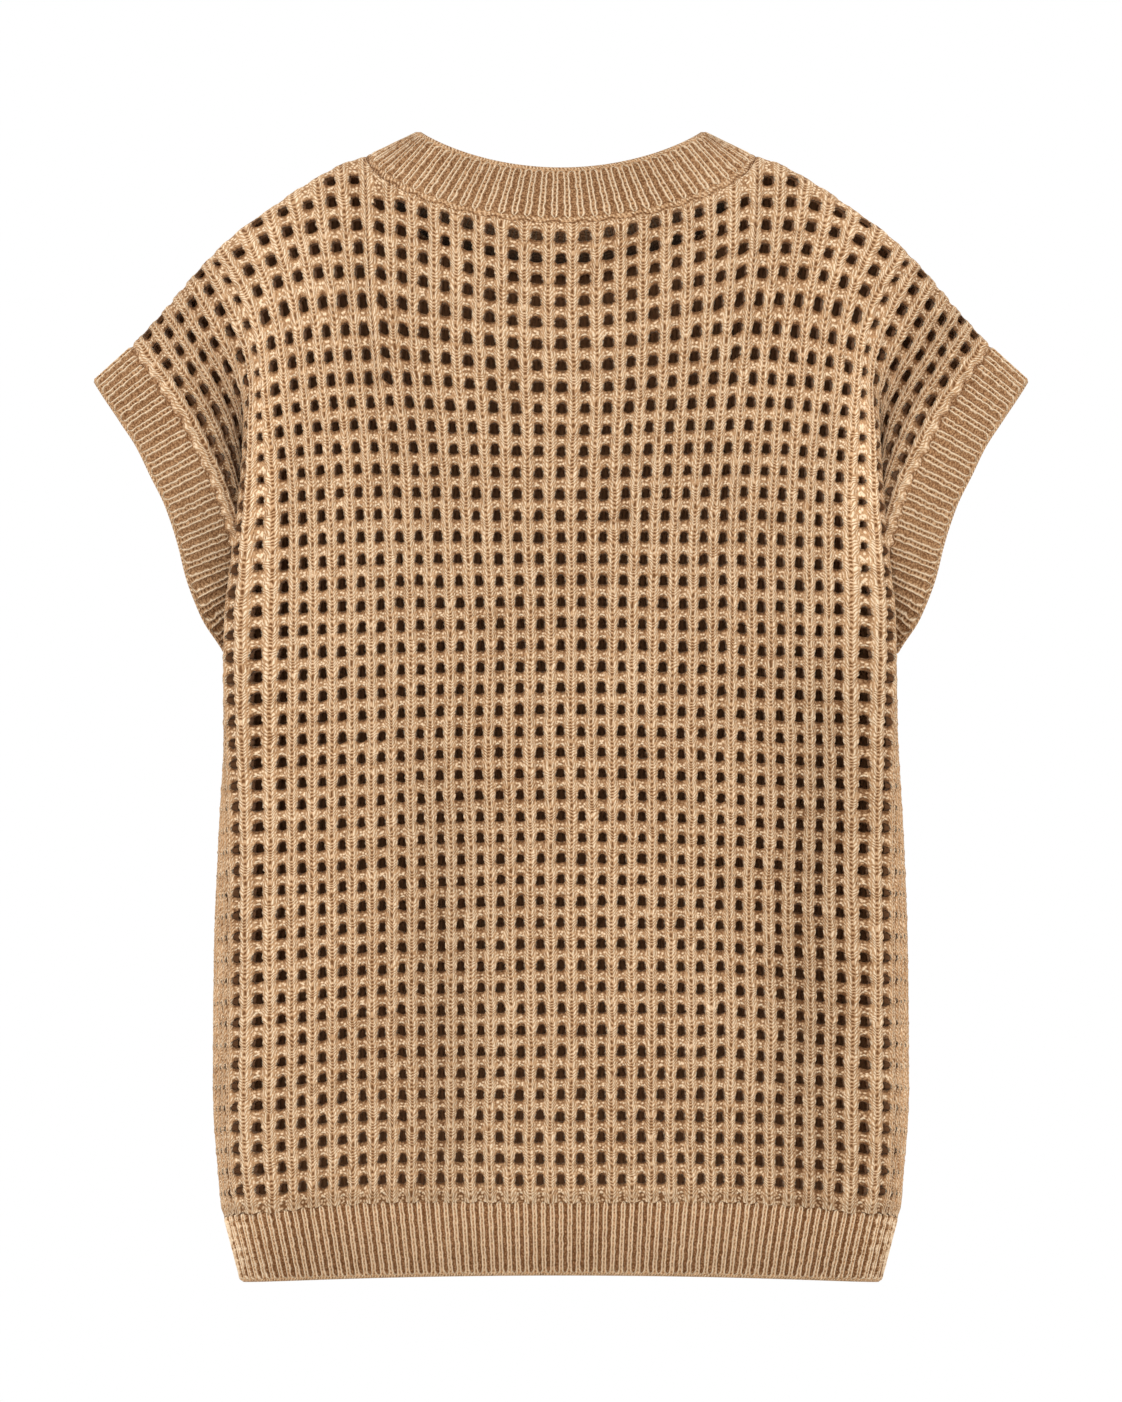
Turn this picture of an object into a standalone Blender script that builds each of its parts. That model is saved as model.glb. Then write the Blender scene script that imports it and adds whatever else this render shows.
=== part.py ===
"""Sleeveless knitted vest in an open stitch: back, front, neck band, two armbands and hem band."""
import math

import bpy
import numpy as np

for old in list(bpy.data.objects):
    bpy.data.objects.remove(old, do_unlink=True)

# Sizes are in millimetres; x to the right of the back, y away from the viewer of the back, z up.
COURSE = 11.75            # height of one course of holes
HEM_TOP = -587.4          # height of the first course at the middle of a panel
SIDE_WALE = 20.9          # wales from the middle of a panel to its side edge
GUIDE_WALE = 14           # last wale of the flat part of a panel
TURN_WALE = 16.3          # wale on the turn of the side or of the armhole fold
UNDERARM = 28.3           # course at which the armhole begins
SEAM = 0.3                # gap between two pieces
HALF_SEAM = SEAM / 2
PANEL_WALL = 2.2
WALE_HEIGHT = 1.3
BAND_WALL = 2.8
RIB_HEIGHT = 1.0

NECK_WALE = 8.5           # wale at which neck and shoulder meet
NECK_X = 107.6
NECK_Z = -14.0
SHOULDER_ROUND = 3.4      # courses over which the shoulder rounds down into the panel
HIDDEN_COURSES = 0.6      # courses lost from view over the top of the shoulder
BACK_NECK_DROP = 36.6     # of the neck seam, below the shoulder
FRONT_NECK_DROP = 62
BAND_WIDTH = 29.8
HEM_HEIGHT = 40.2

NECK_RIBS = 78
ARM_RIBS = 48
HEM_RIBS = 174

# The flat part of a panel, a row for each course measured.
FLAT_COLUMNS = (
    "course", "pitch", "x_9", "guide_x", "rise_9", "rise_guide", "depth_middle", "depth_guide",
)
FLAT = (
    (0, 11.3, 98.0, 152.0, 0.0, -4.6, 60, 49),
    (3, 11.3, 98.0, 153.0, -0.6, -4.8, 61, 50),
    (12, 11.3, 98.0, 153.5, -2.4, -6.3, 63, 52),
    (21, 11.3, 98.5, 153.0, -3.0, -5.8, 63, 52),
    (27, 11.4, 98.5, 152.0, -2.6, -4.3, 62, 52),
    (30, 11.7, 99.0, 151.3, -1.1, -3.1, 62, 51),
    (33, 12.1, 100.7, 151.8, 1.1, -1.6, 62, 50),
    (36, 12.8, 102.9, 154.0, 2.7, -1.2, 62, 50),
    (38, 13.2, 105.0, 156.2, 5.0, -1.0, 61, 49),
    (40, 13.3, 107.3, 158.5, 8.5, 0.5, 60, 47),
    (42, 13.3, 110.0, 166.7, 16.3, 6.4, 58, 43),
    (44, 13.6, 112.2, 178.0, 19.2, 4.9, 57, 40),
    (48, 14.2, 115.0, 199.0, 24.0, 3.0, 56, 38),
)

# The side of a panel: the turn, and the edge at the side seam or the armhole.
SIDE_COLUMNS = (
    "course", "turn_x", "turn_depth", "turn_drop", "turn_heading",
    "edge_x", "edge_depth", "edge_drop", "edge_heading",
)
SIDE = (
    (0, 176.4, 36, 6.4, 62, 185.6, 30, 9.2, 90),
    (6, 180.0, 37, 7.2, 62, 190.8, 30, 9.0, 90),
    (12, 179.5, 37, 7.6, 62, 190.2, 30, 8.8, 90),
    (18, 179.8, 37, 7.4, 66, 187.6, 30, 8.8, 90),
    (22, 180.6, 37, 7.2, 70, 184.0, 30, 8.6, 92),
    (25, 181.3, 36, 7.0, 76, 178.5, 30, 8.2, 96),
    (UNDERARM, 180.6, 36, 6.6, 84, 169.5, 31, 7.1, 84),
    (29.4, 179.0, 37, 6.8, 88, 173.0, 33, 9.6, 34),
    (31, 177.0, 38, 6.8, 92, 178.6, 36, 12.2, -2),
    (33, 174.5, 39, 6.5, 95, 183.2, 39, 17.6, -25),
    (36, 172.0, 39, 8.4, 90, 191.4, 41, 28.6, -28),
    (38, 171.0, 38, 8.6, 72, 200.8, 41, 32.9, -24),
    (39.5, 175.0, 37, 7.6, 44, 208.6, 39, 34.7, -16),
    (41, 183.8, 36, 5.9, 22, 218.4, 37, 37.3, -8),
    (43, 196.5, 34, 6.3, 16, 230.5, 34, 43.2, -4),
    (46, 216.0, 32, 8.0, 12, 249.0, 32, 51.0, 0),
)
ARMHOLE_ROUND = 1.2       # courses over which the armhole opens above the underarm

# Height of the shoulder line from the neck to the end of the shoulder.
SHOULDER_COLUMNS = ("x", "height")
SHOULDER = (
    (107.6, -13.5), (115.5, -15.6), (141, -29.0), (161.5, -43.0), (180.5, -56.8),
    (194.5, -70.5), (206.5, -84.2), (218, -98.0), (231, -112.6), (243, -125.5), (260, -143.0),
)

# Way an armband leaves its seam, down the armhole from the shoulder (0) to the underarm (1).
CUFF_COLUMNS = ("down", "out", "fall")
CUFF = ((0, 0.74, 0.67), (0.3, 0.86, 0.51), (0.5, 0.89, 0.46), (0.8, 0.93, 0.36), (0.9, 0.86, 0.5), (1, 0.5, 0.87))

# Courses at which a panel has a section, and the parts of what is left above the last of them.
SECTION_COURSES = (0, 4, 9, 15, 21, 25, UNDERARM, 28.6, 29.1, 30, 31.5, 33.3, 35.2, 37)
UPPER_PARTS = (0.25, 0.48, 0.68, 0.84, 0.95, 1)


def curve(table, columns, name, at):
    """A column of a table as a smooth curve that keeps between its rows."""
    rows = np.array(table, float)
    x = rows[:, 0]
    y = rows[:, columns.index(name)]
    step = np.diff(x)
    slope = np.diff(y) / step
    tangent = np.zeros(len(x))
    tangent[0] = slope[0]
    tangent[-1] = slope[-1]
    for i in range(1, len(x) - 1):
        if slope[i - 1] * slope[i] > 0:
            before = 2 * step[i] + step[i - 1]
            after = step[i] + 2 * step[i - 1]
            tangent[i] = (before + after) / (before / slope[i - 1] + after / slope[i])
    at = np.clip(np.asarray(at, float), x[0], x[-1])
    i = np.clip(np.searchsorted(x, at) - 1, 0, len(step) - 1)
    t = (at - x[i]) / step[i]
    return (
        y[i] * (1 + 2 * t) * (1 - t) ** 2
        + y[i + 1] * t * t * (3 - 2 * t)
        + step[i] * (tangent[i] * t * (1 - t) ** 2 - tangent[i + 1] * t * t * (1 - t))
    )


def between(start, start_way, end, end_way, t):
    """Cubic from start to end that leaves and arrives along the two ways."""
    return (
        start * (1 + 2 * t) * (1 - t) ** 2
        + end * t * t * (3 - 2 * t)
        + start_way * t * (1 - t) ** 2
        - end_way * t * t * (1 - t)
    )


def bend(at_9, at_guide):
    """Square and cubic parts of a curve with these values at wale 9 and at the guide wale."""
    cubic = (at_guide / GUIDE_WALE**2 - at_9 / 81) / (GUIDE_WALE - 9)
    return at_9 / 81 - 9 * cubic, cubic


def spread(wale, course):
    """x, depth and height of a wale at a course, before the shoulder is rounded."""
    wale = np.abs(wale)

    def flat(name):
        return curve(FLAT, FLAT_COLUMNS, name, course)

    def side(name):
        return curve(SIDE, SIDE_COLUMNS, name, course)

    level = HEM_TOP + COURSE * course
    pitch = flat("pitch")
    wide_2, wide_3 = bend(flat("x_9") - 9 * pitch, flat("guide_x") - GUIDE_WALE * pitch)
    high_2, high_3 = bend(flat("rise_9"), flat("rise_guide"))
    hollow = (flat("depth_middle") - flat("depth_guide")) / GUIDE_WALE**2.4

    inner = np.minimum(wale, GUIDE_WALE)
    x = pitch * inner + wide_2 * inner**2 + wide_3 * inner**3
    depth = flat("depth_middle") - hollow * inner**2.4
    height = level + high_2 * inner**2 + high_3 * inner**3
    x_way = pitch + 2 * wide_2 * inner + 3 * wide_3 * inner**2
    depth_way = -2.4 * hollow * inner**1.4
    height_way = 2 * high_2 * inner + 3 * high_3 * inner**2

    turn = np.radians(side("turn_heading"))
    edge = np.radians(side("edge_heading"))
    near = TURN_WALE - GUIDE_WALE
    far = SIDE_WALE - TURN_WALE
    open_armhole = 1 - np.exp(-np.maximum(course - UNDERARM, 0) / ARMHOLE_ROUND)
    edge_depth = side("edge_depth") * open_armhole
    pace = 10.5
    t = np.clip((wale - GUIDE_WALE) / near, 0, 1)
    s = np.clip((wale - TURN_WALE) / far, 0, 1)
    turn_drop = level - side("turn_drop")
    edge_drop = level - side("edge_drop")
    slant = (edge_drop - height) / (SIDE_WALE - GUIDE_WALE)
    out = []
    for first, first_way, middle, middle_way, last, last_way in (
        (x, x_way, side("turn_x"), pace * np.cos(turn), side("edge_x"), pace * np.cos(edge)),
        (depth, depth_way, side("turn_depth"), -pace * np.sin(turn), edge_depth, -pace * np.sin(edge)),
        (height, height_way, turn_drop, slant, edge_drop, slant),
    ):
        one = between(first, first_way * near, middle, middle_way * near, t)
        two = between(middle, middle_way * far, last, last_way * far, s)
        out.append(np.where(wale <= TURN_WALE, one, two))
    return np.where(wale <= GUIDE_WALE, (x, depth, height), out)


def neck_height(front, x):
    """Height of the neck seam over a distance from the middle."""
    inside = np.clip(1 - (np.abs(x) / NECK_X) ** 2, 0, 1)
    if front:
        return NECK_Z - FRONT_NECK_DROP * inside**0.62
    return NECK_Z - BACK_NECK_DROP * inside**0.65


def top_course(front, wale):
    """Course at which a wale ends on the neck seam or the shoulder seam."""
    low = np.full(np.shape(wale), 36.0)
    high = np.full(np.shape(wale), 48.0)
    for _ in range(40):
        course = (low + high) / 2
        x, _, height = spread(wale, course)
        shoulder = curve(SHOULDER, SHOULDER_COLUMNS, "height", x)
        line = np.where(np.abs(wale) < NECK_WALE, neck_height(front, x), shoulder)
        low = np.where(height < line, course, low)
        high = np.where(height < line, high, course)
    return low


def panel_point(front, wale, down):
    """Point of a panel's outer face, a number of courses down from its top edge."""
    size = np.abs(wale)
    top = top_course(front, wale)
    hidden = HIDDEN_COURSES * np.clip((size - 7) / (NECK_WALE - 7), 0.02, 1)
    course = top - (down - hidden * (1 - np.exp(-down / hidden)))
    x, depth, height = spread(wale, np.maximum(course, 0))
    edge_x, _, _ = spread(wale, top)
    neck_depth = (58 if front else 54) * np.sqrt(np.clip(1 - (edge_x / NECK_X) ** 2, 0, 1))
    neck_depth = np.where(size < NECK_WALE, neck_depth, 0)
    if front:
        depth = depth + 4 * np.clip(1 - (size / GUIDE_WALE) ** 2, 0, 1)
    rounded = 1 - np.exp(-down / SHOULDER_ROUND)
    depth = neck_depth + (depth - neck_depth) * rounded
    depth = np.maximum(depth, HALF_SEAM)
    y = depth if front else -depth
    return np.stack([np.sign(wale) * x, y, height], -1)


def whole_drop(front, wale):
    """Courses from a wale's top edge to the hem."""
    hidden = HIDDEN_COURSES * np.clip((np.abs(wale) - 7) / (NECK_WALE - 7), 0.02, 1)
    return top_course(front, wale) + hidden


def unit(vectors):
    return vectors / np.maximum(np.linalg.norm(vectors, axis=-1, keepdims=True), 1e-9)


def panel_normal(front, wale, down):
    """Outward normal of a panel's smooth face."""
    step = 0.05
    total = whole_drop(front, wale)
    below = np.minimum(down + step, total)
    above = np.maximum(down - step, 0)
    right = np.minimum(wale + step, SIDE_WALE)
    left = np.maximum(wale - step, -SIDE_WALE)
    # a neighbour wale is read at the same course, as their tops lie at different courses
    across = panel_point(front, right, np.clip(down + whole_drop(front, right) - total, 0, None))
    across = across - panel_point(front, left, np.clip(down + whole_drop(front, left) - total, 0, None))
    along = panel_point(front, wale, above) - panel_point(front, wale, below)
    normal = unit(np.cross(across, along))
    return -normal if front else normal


def add_piece(name, points, faces, colour):
    """Mesh object from points in millimetres, with a material of its own."""
    mesh = bpy.data.meshes.new(name)
    mesh.from_pydata([tuple(float(v) / 1000 for v in p) for p in points], [], faces)
    mesh.update()
    piece = bpy.data.objects.new(name, mesh)
    bpy.context.scene.collection.objects.link(piece)
    for polygon in mesh.polygons:
        polygon.use_smooth = True
    material = bpy.data.materials.new(name)
    material.use_nodes = True
    shader = material.node_tree.nodes["Principled BSDF"]
    shader.inputs["Base Color"].default_value = (*colour, 1)
    shader.inputs["Roughness"].default_value = 0.9
    shader.inputs["Metallic"].default_value = 0
    mesh.materials.append(material)
    return piece


def ladder(long_row, short_row, every):
    """Triangles between a row of points and a row with one point for each few of it."""
    faces = []
    for i in range(len(short_row) - 1):
        run = long_row[i * every : (i + 1) * every + 1]
        half = every // 2
        for j in range(every):
            foot = short_row[i] if j <= half else short_row[i + 1]
            faces.append((run[j], run[j + 1], foot))
            if j == half:
                faces.append((run[j + 1], short_row[i + 1], short_row[i]))
    return faces


def turned(faces):
    return [tuple(reversed(face)) for face in faces]


def build_panel(name, front, colour):
    """Closed wall with its wales raised on the outside over a plain inside."""
    corner = (8.2, 8.4)
    wales = np.concatenate([[-SIDE_WALE], np.arange(-20.5, 20.6, 0.5), [SIDE_WALE]])
    wales = np.sort(np.concatenate([wales, corner, np.negative(corner)]))
    every = 4
    inside_wales = wales[::every]
    total = whole_drop(front, wales)
    total[0] = total[1] = total[-1] = total[-2] = total[2]
    last = SECTION_COURSES[-1]
    downs = [total - course for course in SECTION_COURSES]
    downs += [(total - last) * (1 - part) for part in UPPER_PARTS]
    downs = np.array(downs)
    count = len(downs)
    grid = np.broadcast_to(wales, downs.shape)
    points = panel_point(front, grid, downs)
    normals = panel_normal(front, grid, downs)
    # walls stand square to the shoulder seam and to the side seam
    on_shoulder = np.abs(wales) >= NECK_WALE - 0.01
    normals[-1, on_shoulder, 1] = 0
    on_side = np.array([course <= UNDERARM for course in SECTION_COURSES] + [False] * len(UPPER_PARTS))
    for edge in (0, -1):
        normals[on_side, edge, 1] = 0
    normals = unit(normals)
    raised = WALE_HEIGHT * (1 - 2 * np.abs(wales % 1 - 0.5))
    raised[[0, 1, -2, -1]] = 0
    lift = np.tile(raised, (count, 1))
    lift[-1] = 0
    outer = points + normals * lift[..., None]
    inner = (points - normals * PANEL_WALL)[:, ::every]
    # inside edges stop a little short of the bands
    inner[-1] += (inner[-2] - inner[-1]) * np.where(on_shoulder[::every], 0, 0.25)[:, None]
    inner[0] += (inner[1] - inner[0]) * 0.03
    armhole = SECTION_COURSES.index(UNDERARM) + 1
    inner[armhole:, 0] += (inner[armhole:, 1] - inner[armhole:, 0]) * 0.08
    inner[armhole:, -1] += (inner[armhole:, -2] - inner[armhole:, -1]) * 0.08

    wide = len(wales)
    narrow = len(inside_wales)
    base = count * wide
    face_rows = [[r * wide + i for i in range(wide)] for r in range(count)]
    back_rows = [[base + r * narrow + i for i in range(narrow)] for r in range(count)]
    faces = []
    for rows, flip in ((face_rows, False), (back_rows, True)):
        for low, high in zip(rows, rows[1:]):
            for i in range(len(low) - 1):
                quad = (low[i], low[i + 1], high[i + 1], high[i])
                faces.append(tuple(reversed(quad)) if flip else quad)
    faces += turned(ladder(face_rows[0], back_rows[0], every))
    faces += ladder(face_rows[-1], back_rows[-1], every)
    for r in range(count - 1):
        faces.append((face_rows[r][0], face_rows[r + 1][0], back_rows[r + 1][0], back_rows[r][0]))
        faces.append((face_rows[r][-1], back_rows[r][-1], back_rows[r + 1][-1], face_rows[r + 1][-1]))
    if front:
        faces = turned(faces)
    add_piece(name, np.concatenate([outer.reshape(-1, 3), inner.reshape(-1, 3)]), faces, colour)
    neck = np.abs(wales) <= NECK_WALE + 0.01
    return {
        "neck": (points[-1, neck], normals[-1, neck]),
        "arm": (points[armhole - 1 :, -1], normals[armhole - 1 :, -1]),
        "hem": (points[0], normals[0]),
    }


def resample(line, values, parts):
    """Values along a line at even parts of its length."""
    length = np.concatenate([[0], np.cumsum(np.linalg.norm(np.diff(line, axis=0), axis=1))])
    length /= length[-1]
    return np.stack([np.interp(parts, length, values[:, i]) for i in range(values.shape[1])], -1)


def build_band(name, seam, seam_normal, far, ribs, every, wall, colour):
    """Closed ring from a seam to its far edge, ribs raised across it; rows run round the ring."""
    count = len(seam)
    rib = np.where(np.arange(count) % 2 == 0, RIB_HEIGHT, 0.0)
    tangent = unit(np.roll(seam, -1, 0) - np.roll(seam, 1, 0))
    way = far - seam
    normal = unit(np.cross(way, tangent))
    if np.mean(np.sum(normal * seam_normal, -1)) < 0:
        normal = -normal
    # at the underarm the band folds back over the panel, and its wall follows its own way
    agree = np.clip((np.sum(normal * seam_normal, -1, keepdims=True) - 0.2) / 0.6, 0, 1)
    meeting = unit(seam_normal * agree + normal * (1 - agree))
    # a rib starts just past the seam, so the wall is plain where it meets the panel
    stations = ((0.0, 0.0, 0.0), (0.12, 1.0, 1.0), (1.0, 1.0, 0.7))
    outer = []
    inner = []
    for part, own, height in stations:
        here = seam + way * part
        side = unit(meeting * (1 - own) + normal * own)
        outer.append(here + side * (rib * height)[:, None])
        away = way * 0.06 if part == 0 else 0
        inner.append((here + away - side * wall)[::every])
    narrow = len(inner[0])
    base = len(stations) * count
    faces = []
    for r in range(len(stations) - 1):
        for i in range(count):
            j = (i + 1) % count
            faces.append((r * count + i, r * count + j, (r + 1) * count + j, (r + 1) * count + i))
        for i in range(narrow):
            j = (i + 1) % narrow
            low = base + r * narrow
            high = low + narrow
            faces.append((low + j, low + i, high + i, high + j))
    for r, flip in ((0, True), (len(stations) - 1, False)):
        long_row = [r * count + i % count for i in range(count + 1)]
        short_row = [base + r * narrow + i % narrow for i in range(narrow + 1)]
        strip = ladder(long_row, short_row, every)
        faces += turned(strip) if flip else strip
    points = np.concatenate(outer + inner)
    piece = add_piece(name, points, faces, colour)
    face_out(piece)
    return piece


def face_out(piece):
    """Turn all faces over if the closed mesh has a negative volume."""
    mesh = piece.data
    total = 0.0
    for polygon in mesh.polygons:
        corners = [mesh.vertices[i].co for i in polygon.vertices]
        for b, c in zip(corners[1:], corners[2:]):
            total += corners[0].dot(b.cross(c))
    if total < 0:
        mesh.flip_normals()
    return total


def build_neck_band(edges_of, colour):
    """Ring of rib from the neck seam up and in to the neck edge."""
    count = NECK_RIBS * 2
    share = {False: round(count * 0.46 / 6) * 6}
    share[True] = count - share[False]
    seams = []
    normals = []
    edges = []
    for front in (False, True):
        line, normal = edges_of[front]["neck"]
        parts = np.arange(share[front]) / share[front]
        turn = np.linspace(0, math.pi, 241)
        deep, low = (53, FRONT_NECK_DROP - 15) if front else (49, BACK_NECK_DROP - 16)
        y = deep * np.sin(turn)
        edge = np.stack(
            [-77.5 * np.cos(turn), y if front else -y, -low * np.sin(turn) ** 1.35],
            -1,
        )
        if front:
            line, normal, edge = line[::-1], normal[::-1], edge[::-1]
        seams.append(resample(line, line, parts))
        normals.append(resample(line, normal, parts))
        edges.append(resample(edge, edge, parts))
    seam = np.concatenate(seams)
    normal = unit(np.concatenate(normals))
    edge = np.concatenate(edges)
    start = seam + unit(edge - seam) * SEAM * 1.3
    return build_band("neck_band", start, normal, edge, NECK_RIBS, 3, BAND_WALL, colour)


def build_armband(name, sign, edges_of, colour):
    """Ring of rib round an armhole, leaving its seam outward and down."""
    back, back_normal = edges_of[False]["arm"]
    front, front_normal = edges_of[True]["arm"]
    line = np.concatenate([back, front[::-1]])
    normal = np.concatenate([back_normal, front_normal[::-1]])
    closed = np.concatenate([line, line[:1]])
    parts = np.arange(ARM_RIBS * 2) / (ARM_RIBS * 2)
    seam = resample(closed, closed, parts)
    normal = unit(resample(closed, np.concatenate([normal, normal[:1]]), parts))
    height = seam[:, 2]
    down = (height.max() - height) / (height.max() - height.min())
    out = curve(CUFF, CUFF_COLUMNS, "out", down)
    fall = curve(CUFF, CUFF_COLUMNS, "fall", down)
    way = unit(np.stack([out, seam[:, 1] * 0.004, -fall], -1))
    start = seam + way * SEAM + np.array([0.5, 0, 0])
    edge = start + way * BAND_WIDTH
    mirror = np.array([sign, 1, 1])
    return build_band(name, start * mirror, normal * mirror, edge * mirror, ARM_RIBS, 3, BAND_WALL, colour)


def build_hem_band(edges_of, colour):
    """Ring of rib under both panels, drawn in a little toward its lower edge."""
    lines = []
    normals = []
    for front in (False, True):
        line, normal = edges_of[front]["hem"]
        normal = unit(normal * (1, 1, 0))
        lines.append(line[::-1] if front else line)
        normals.append(normal[::-1] if front else normal)
    line = np.concatenate(lines)
    normal = np.concatenate(normals)
    closed = np.concatenate([line, line[:1]])
    parts = np.arange(HEM_RIBS * 2) / (HEM_RIBS * 2)
    seam = resample(closed, closed, parts)
    normal = unit(resample(closed, np.concatenate([normal, normal[:1]]), parts))
    start = seam - np.array([0, 0, SEAM])
    edge = start * (0.944, 0.93, 1)
    edge[:, 2] = HEM_TOP - HEM_HEIGHT - 4.4 * (np.abs(edge[:, 0]) / 177) ** 2
    return build_band("hem_band", start, normal, edge, HEM_RIBS, 3, BAND_WALL, colour)


CAMEL = (0.60, 0.41, 0.25)
CAMEL_RIB = (0.55, 0.365, 0.215)

edges_of = {
    False: build_panel("back_panel", False, CAMEL),
    True: build_panel("front_panel", True, CAMEL),
}
build_neck_band(edges_of, CAMEL_RIB)
build_armband("armband_left", -1, edges_of, CAMEL_RIB)
build_armband("armband_right", 1, edges_of, CAMEL_RIB)
build_hem_band(edges_of, CAMEL_RIB)
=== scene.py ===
import math

import bpy
import numpy as np
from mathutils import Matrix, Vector


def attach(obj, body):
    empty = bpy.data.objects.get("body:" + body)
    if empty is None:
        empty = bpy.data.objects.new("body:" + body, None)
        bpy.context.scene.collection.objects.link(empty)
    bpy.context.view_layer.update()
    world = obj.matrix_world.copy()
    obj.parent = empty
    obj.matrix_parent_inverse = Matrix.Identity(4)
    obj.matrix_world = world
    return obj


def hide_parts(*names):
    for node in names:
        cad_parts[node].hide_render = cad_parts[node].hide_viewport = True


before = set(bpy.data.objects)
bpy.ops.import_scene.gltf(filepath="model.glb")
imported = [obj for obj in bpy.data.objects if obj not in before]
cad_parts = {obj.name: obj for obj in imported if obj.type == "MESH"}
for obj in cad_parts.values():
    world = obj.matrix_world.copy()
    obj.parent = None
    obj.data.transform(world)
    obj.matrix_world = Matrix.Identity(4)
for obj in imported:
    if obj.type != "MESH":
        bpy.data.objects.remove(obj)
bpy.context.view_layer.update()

scene = bpy.context.scene

# camera
cameraSet = {
    "mmPerPixel": 0.55,
    "middlePixel": (561, 701),      # middle of the photograph
    "originPixel": (561, 132),      # highest points of the neck, where z is 0
    "distance": 24.0,               # a very long lens: the vest is seen almost without perspective
    "photoHeight": 1402,
}


def placeCamera(c):
    across = (c["middlePixel"][0] - c["originPixel"][0]) * c["mmPerPixel"] / 1000
    up = -(c["middlePixel"][1] - c["originPixel"][1]) * c["mmPerPixel"] / 1000
    data = bpy.data.cameras.new("camera")
    data.sensor_width = 36
    data.lens = 36 * c["distance"] / (c["photoHeight"] * c["mmPerPixel"] / 1000)
    data.clip_start = 1
    data.clip_end = 60
    camera = bpy.data.objects.new("camera", data)
    camera.location = (across, -c["distance"], up)
    camera.rotation_euler = (math.radians(90), 0, 0)
    scene.collection.objects.link(camera)
    scene.camera = camera


placeCamera(cameraSet)
print("camera placed")

# The garment's form, in millimetres:
# x to the right of the back, depth away from the middle, z up; wales count across, courses count up
form = {
    "course": 11.75,
    "hemTop": -587.4,
    "sideWale": 20.9,          # last wale, at the side seam and the armhole
    "guideWale": 14,           # up to here a panel is nearly flat
    "turnWale": 16.3,          # and here it turns to the side
    "turnPace": 10.5,          # width of a wale round the turn
    "hollow": 2.4,             # how late a panel starts to curve back, the higher the later
    "frontFuller": 4,
    "underarm": 28.3,          # course
    "armholeRound": 1.2,
    "seam": -0.4,              # less than 0: the panels overlap a little along their seams
    "neckWale": 8.5,
    "neckX": 107.6,
    "neckZ": -14.0,
    "neckDrop": (36.6, 62),    # back, front
    "neckCurve": (0.65, 0.62),
    "neckDepth": (54, 58),
    "shoulderRound": 3.4,
    "hiddenCourses": 0.6,      # courses taken up by the round of a shoulder
    "hiddenWale": 7,           # where they begin
}

flatColumns = ("course", "pitch", "x9", "guideX", "rise9", "riseGuide", "depthMiddle", "depthGuide")
flatTable = (
    (0, 11.3, 98.0, 152.0, 0.0, -4.6, 60, 49),
    (3, 11.3, 98.0, 153.0, -0.6, -4.8, 61, 50),
    (12, 11.3, 98.0, 153.5, -2.4, -6.3, 63, 52),
    (21, 11.3, 98.5, 153.0, -3.0, -5.8, 63, 52),
    (27, 11.4, 98.5, 152.0, -2.6, -4.3, 62, 52),
    (30, 11.7, 99.0, 151.3, -1.1, -3.1, 62, 51),
    (33, 12.1, 100.7, 151.8, 1.1, -1.6, 62, 50),
    (36, 12.8, 102.9, 154.0, 2.7, -1.2, 62, 50),
    (38, 13.2, 105.0, 156.2, 5.0, -1.0, 61, 49),
    (40, 13.3, 107.3, 158.5, 8.5, 0.5, 60, 47),
    (42, 13.3, 110.0, 166.7, 16.3, 6.4, 58, 43),
    (44, 13.6, 112.2, 178.0, 19.2, 4.9, 57, 40),
    (48, 14.2, 115.0, 199.0, 24.0, 3.0, 56, 38),
)
sideColumns = (
    "course", "turnX", "turnDepth", "turnDrop", "turnHeading",
    "edgeX", "edgeDepth", "edgeDrop", "edgeHeading",
)
sideTable = (
    (0, 176.4, 36, 6.4, 62, 185.6, 30, 9.2, 90),
    (6, 180.0, 37, 7.2, 62, 190.8, 30, 9.0, 90),
    (12, 179.5, 37, 7.6, 62, 190.2, 30, 8.8, 90),
    (18, 179.8, 37, 7.4, 66, 187.6, 30, 8.8, 90),
    (22, 180.6, 37, 7.2, 70, 184.0, 30, 8.6, 92),
    (25, 181.3, 36, 7.0, 76, 178.5, 30, 8.2, 96),
    (28.3, 180.6, 36, 6.6, 84, 169.5, 31, 7.1, 84),
    (29.4, 179.0, 37, 6.8, 88, 173.0, 33, 9.6, 34),
    (31, 177.0, 38, 6.8, 92, 178.6, 36, 12.2, -2),
    (33, 174.5, 39, 6.5, 95, 183.2, 39, 17.6, -25),
    (36, 172.0, 39, 8.4, 90, 191.4, 41, 28.6, -28),
    (38, 171.0, 38, 8.6, 72, 200.8, 41, 32.9, -24),
    (39.5, 175.0, 37, 7.6, 44, 208.6, 39, 34.7, -16),
    (41, 183.8, 36, 5.9, 22, 218.4, 37, 37.3, -8),
    (43, 196.5, 34, 6.3, 16, 230.5, 34, 43.2, -4),
    (46, 216.0, 32, 8.0, 12, 249.0, 32, 51.0, 0),
)
shoulderColumns = ("x", "height")
shoulderTable = (
    (107.6, -13.5), (115.5, -15.6), (141, -29.0), (161.5, -43.0), (180.5, -56.8),
    (194.5, -70.5), (206.5, -84.2), (218, -98.0), (231, -112.6), (243, -125.5), (260, -143.0),
)
cuffColumns = ("down", "out", "fall")      # the way an armband leaves its seam
cuffTable = (
    (0, 0.74, 0.67), (0.3, 0.86, 0.51), (0.5, 0.89, 0.46),
    (0.8, 0.93, 0.36), (0.9, 0.86, 0.5), (1, 0.5, 0.87),
)


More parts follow.
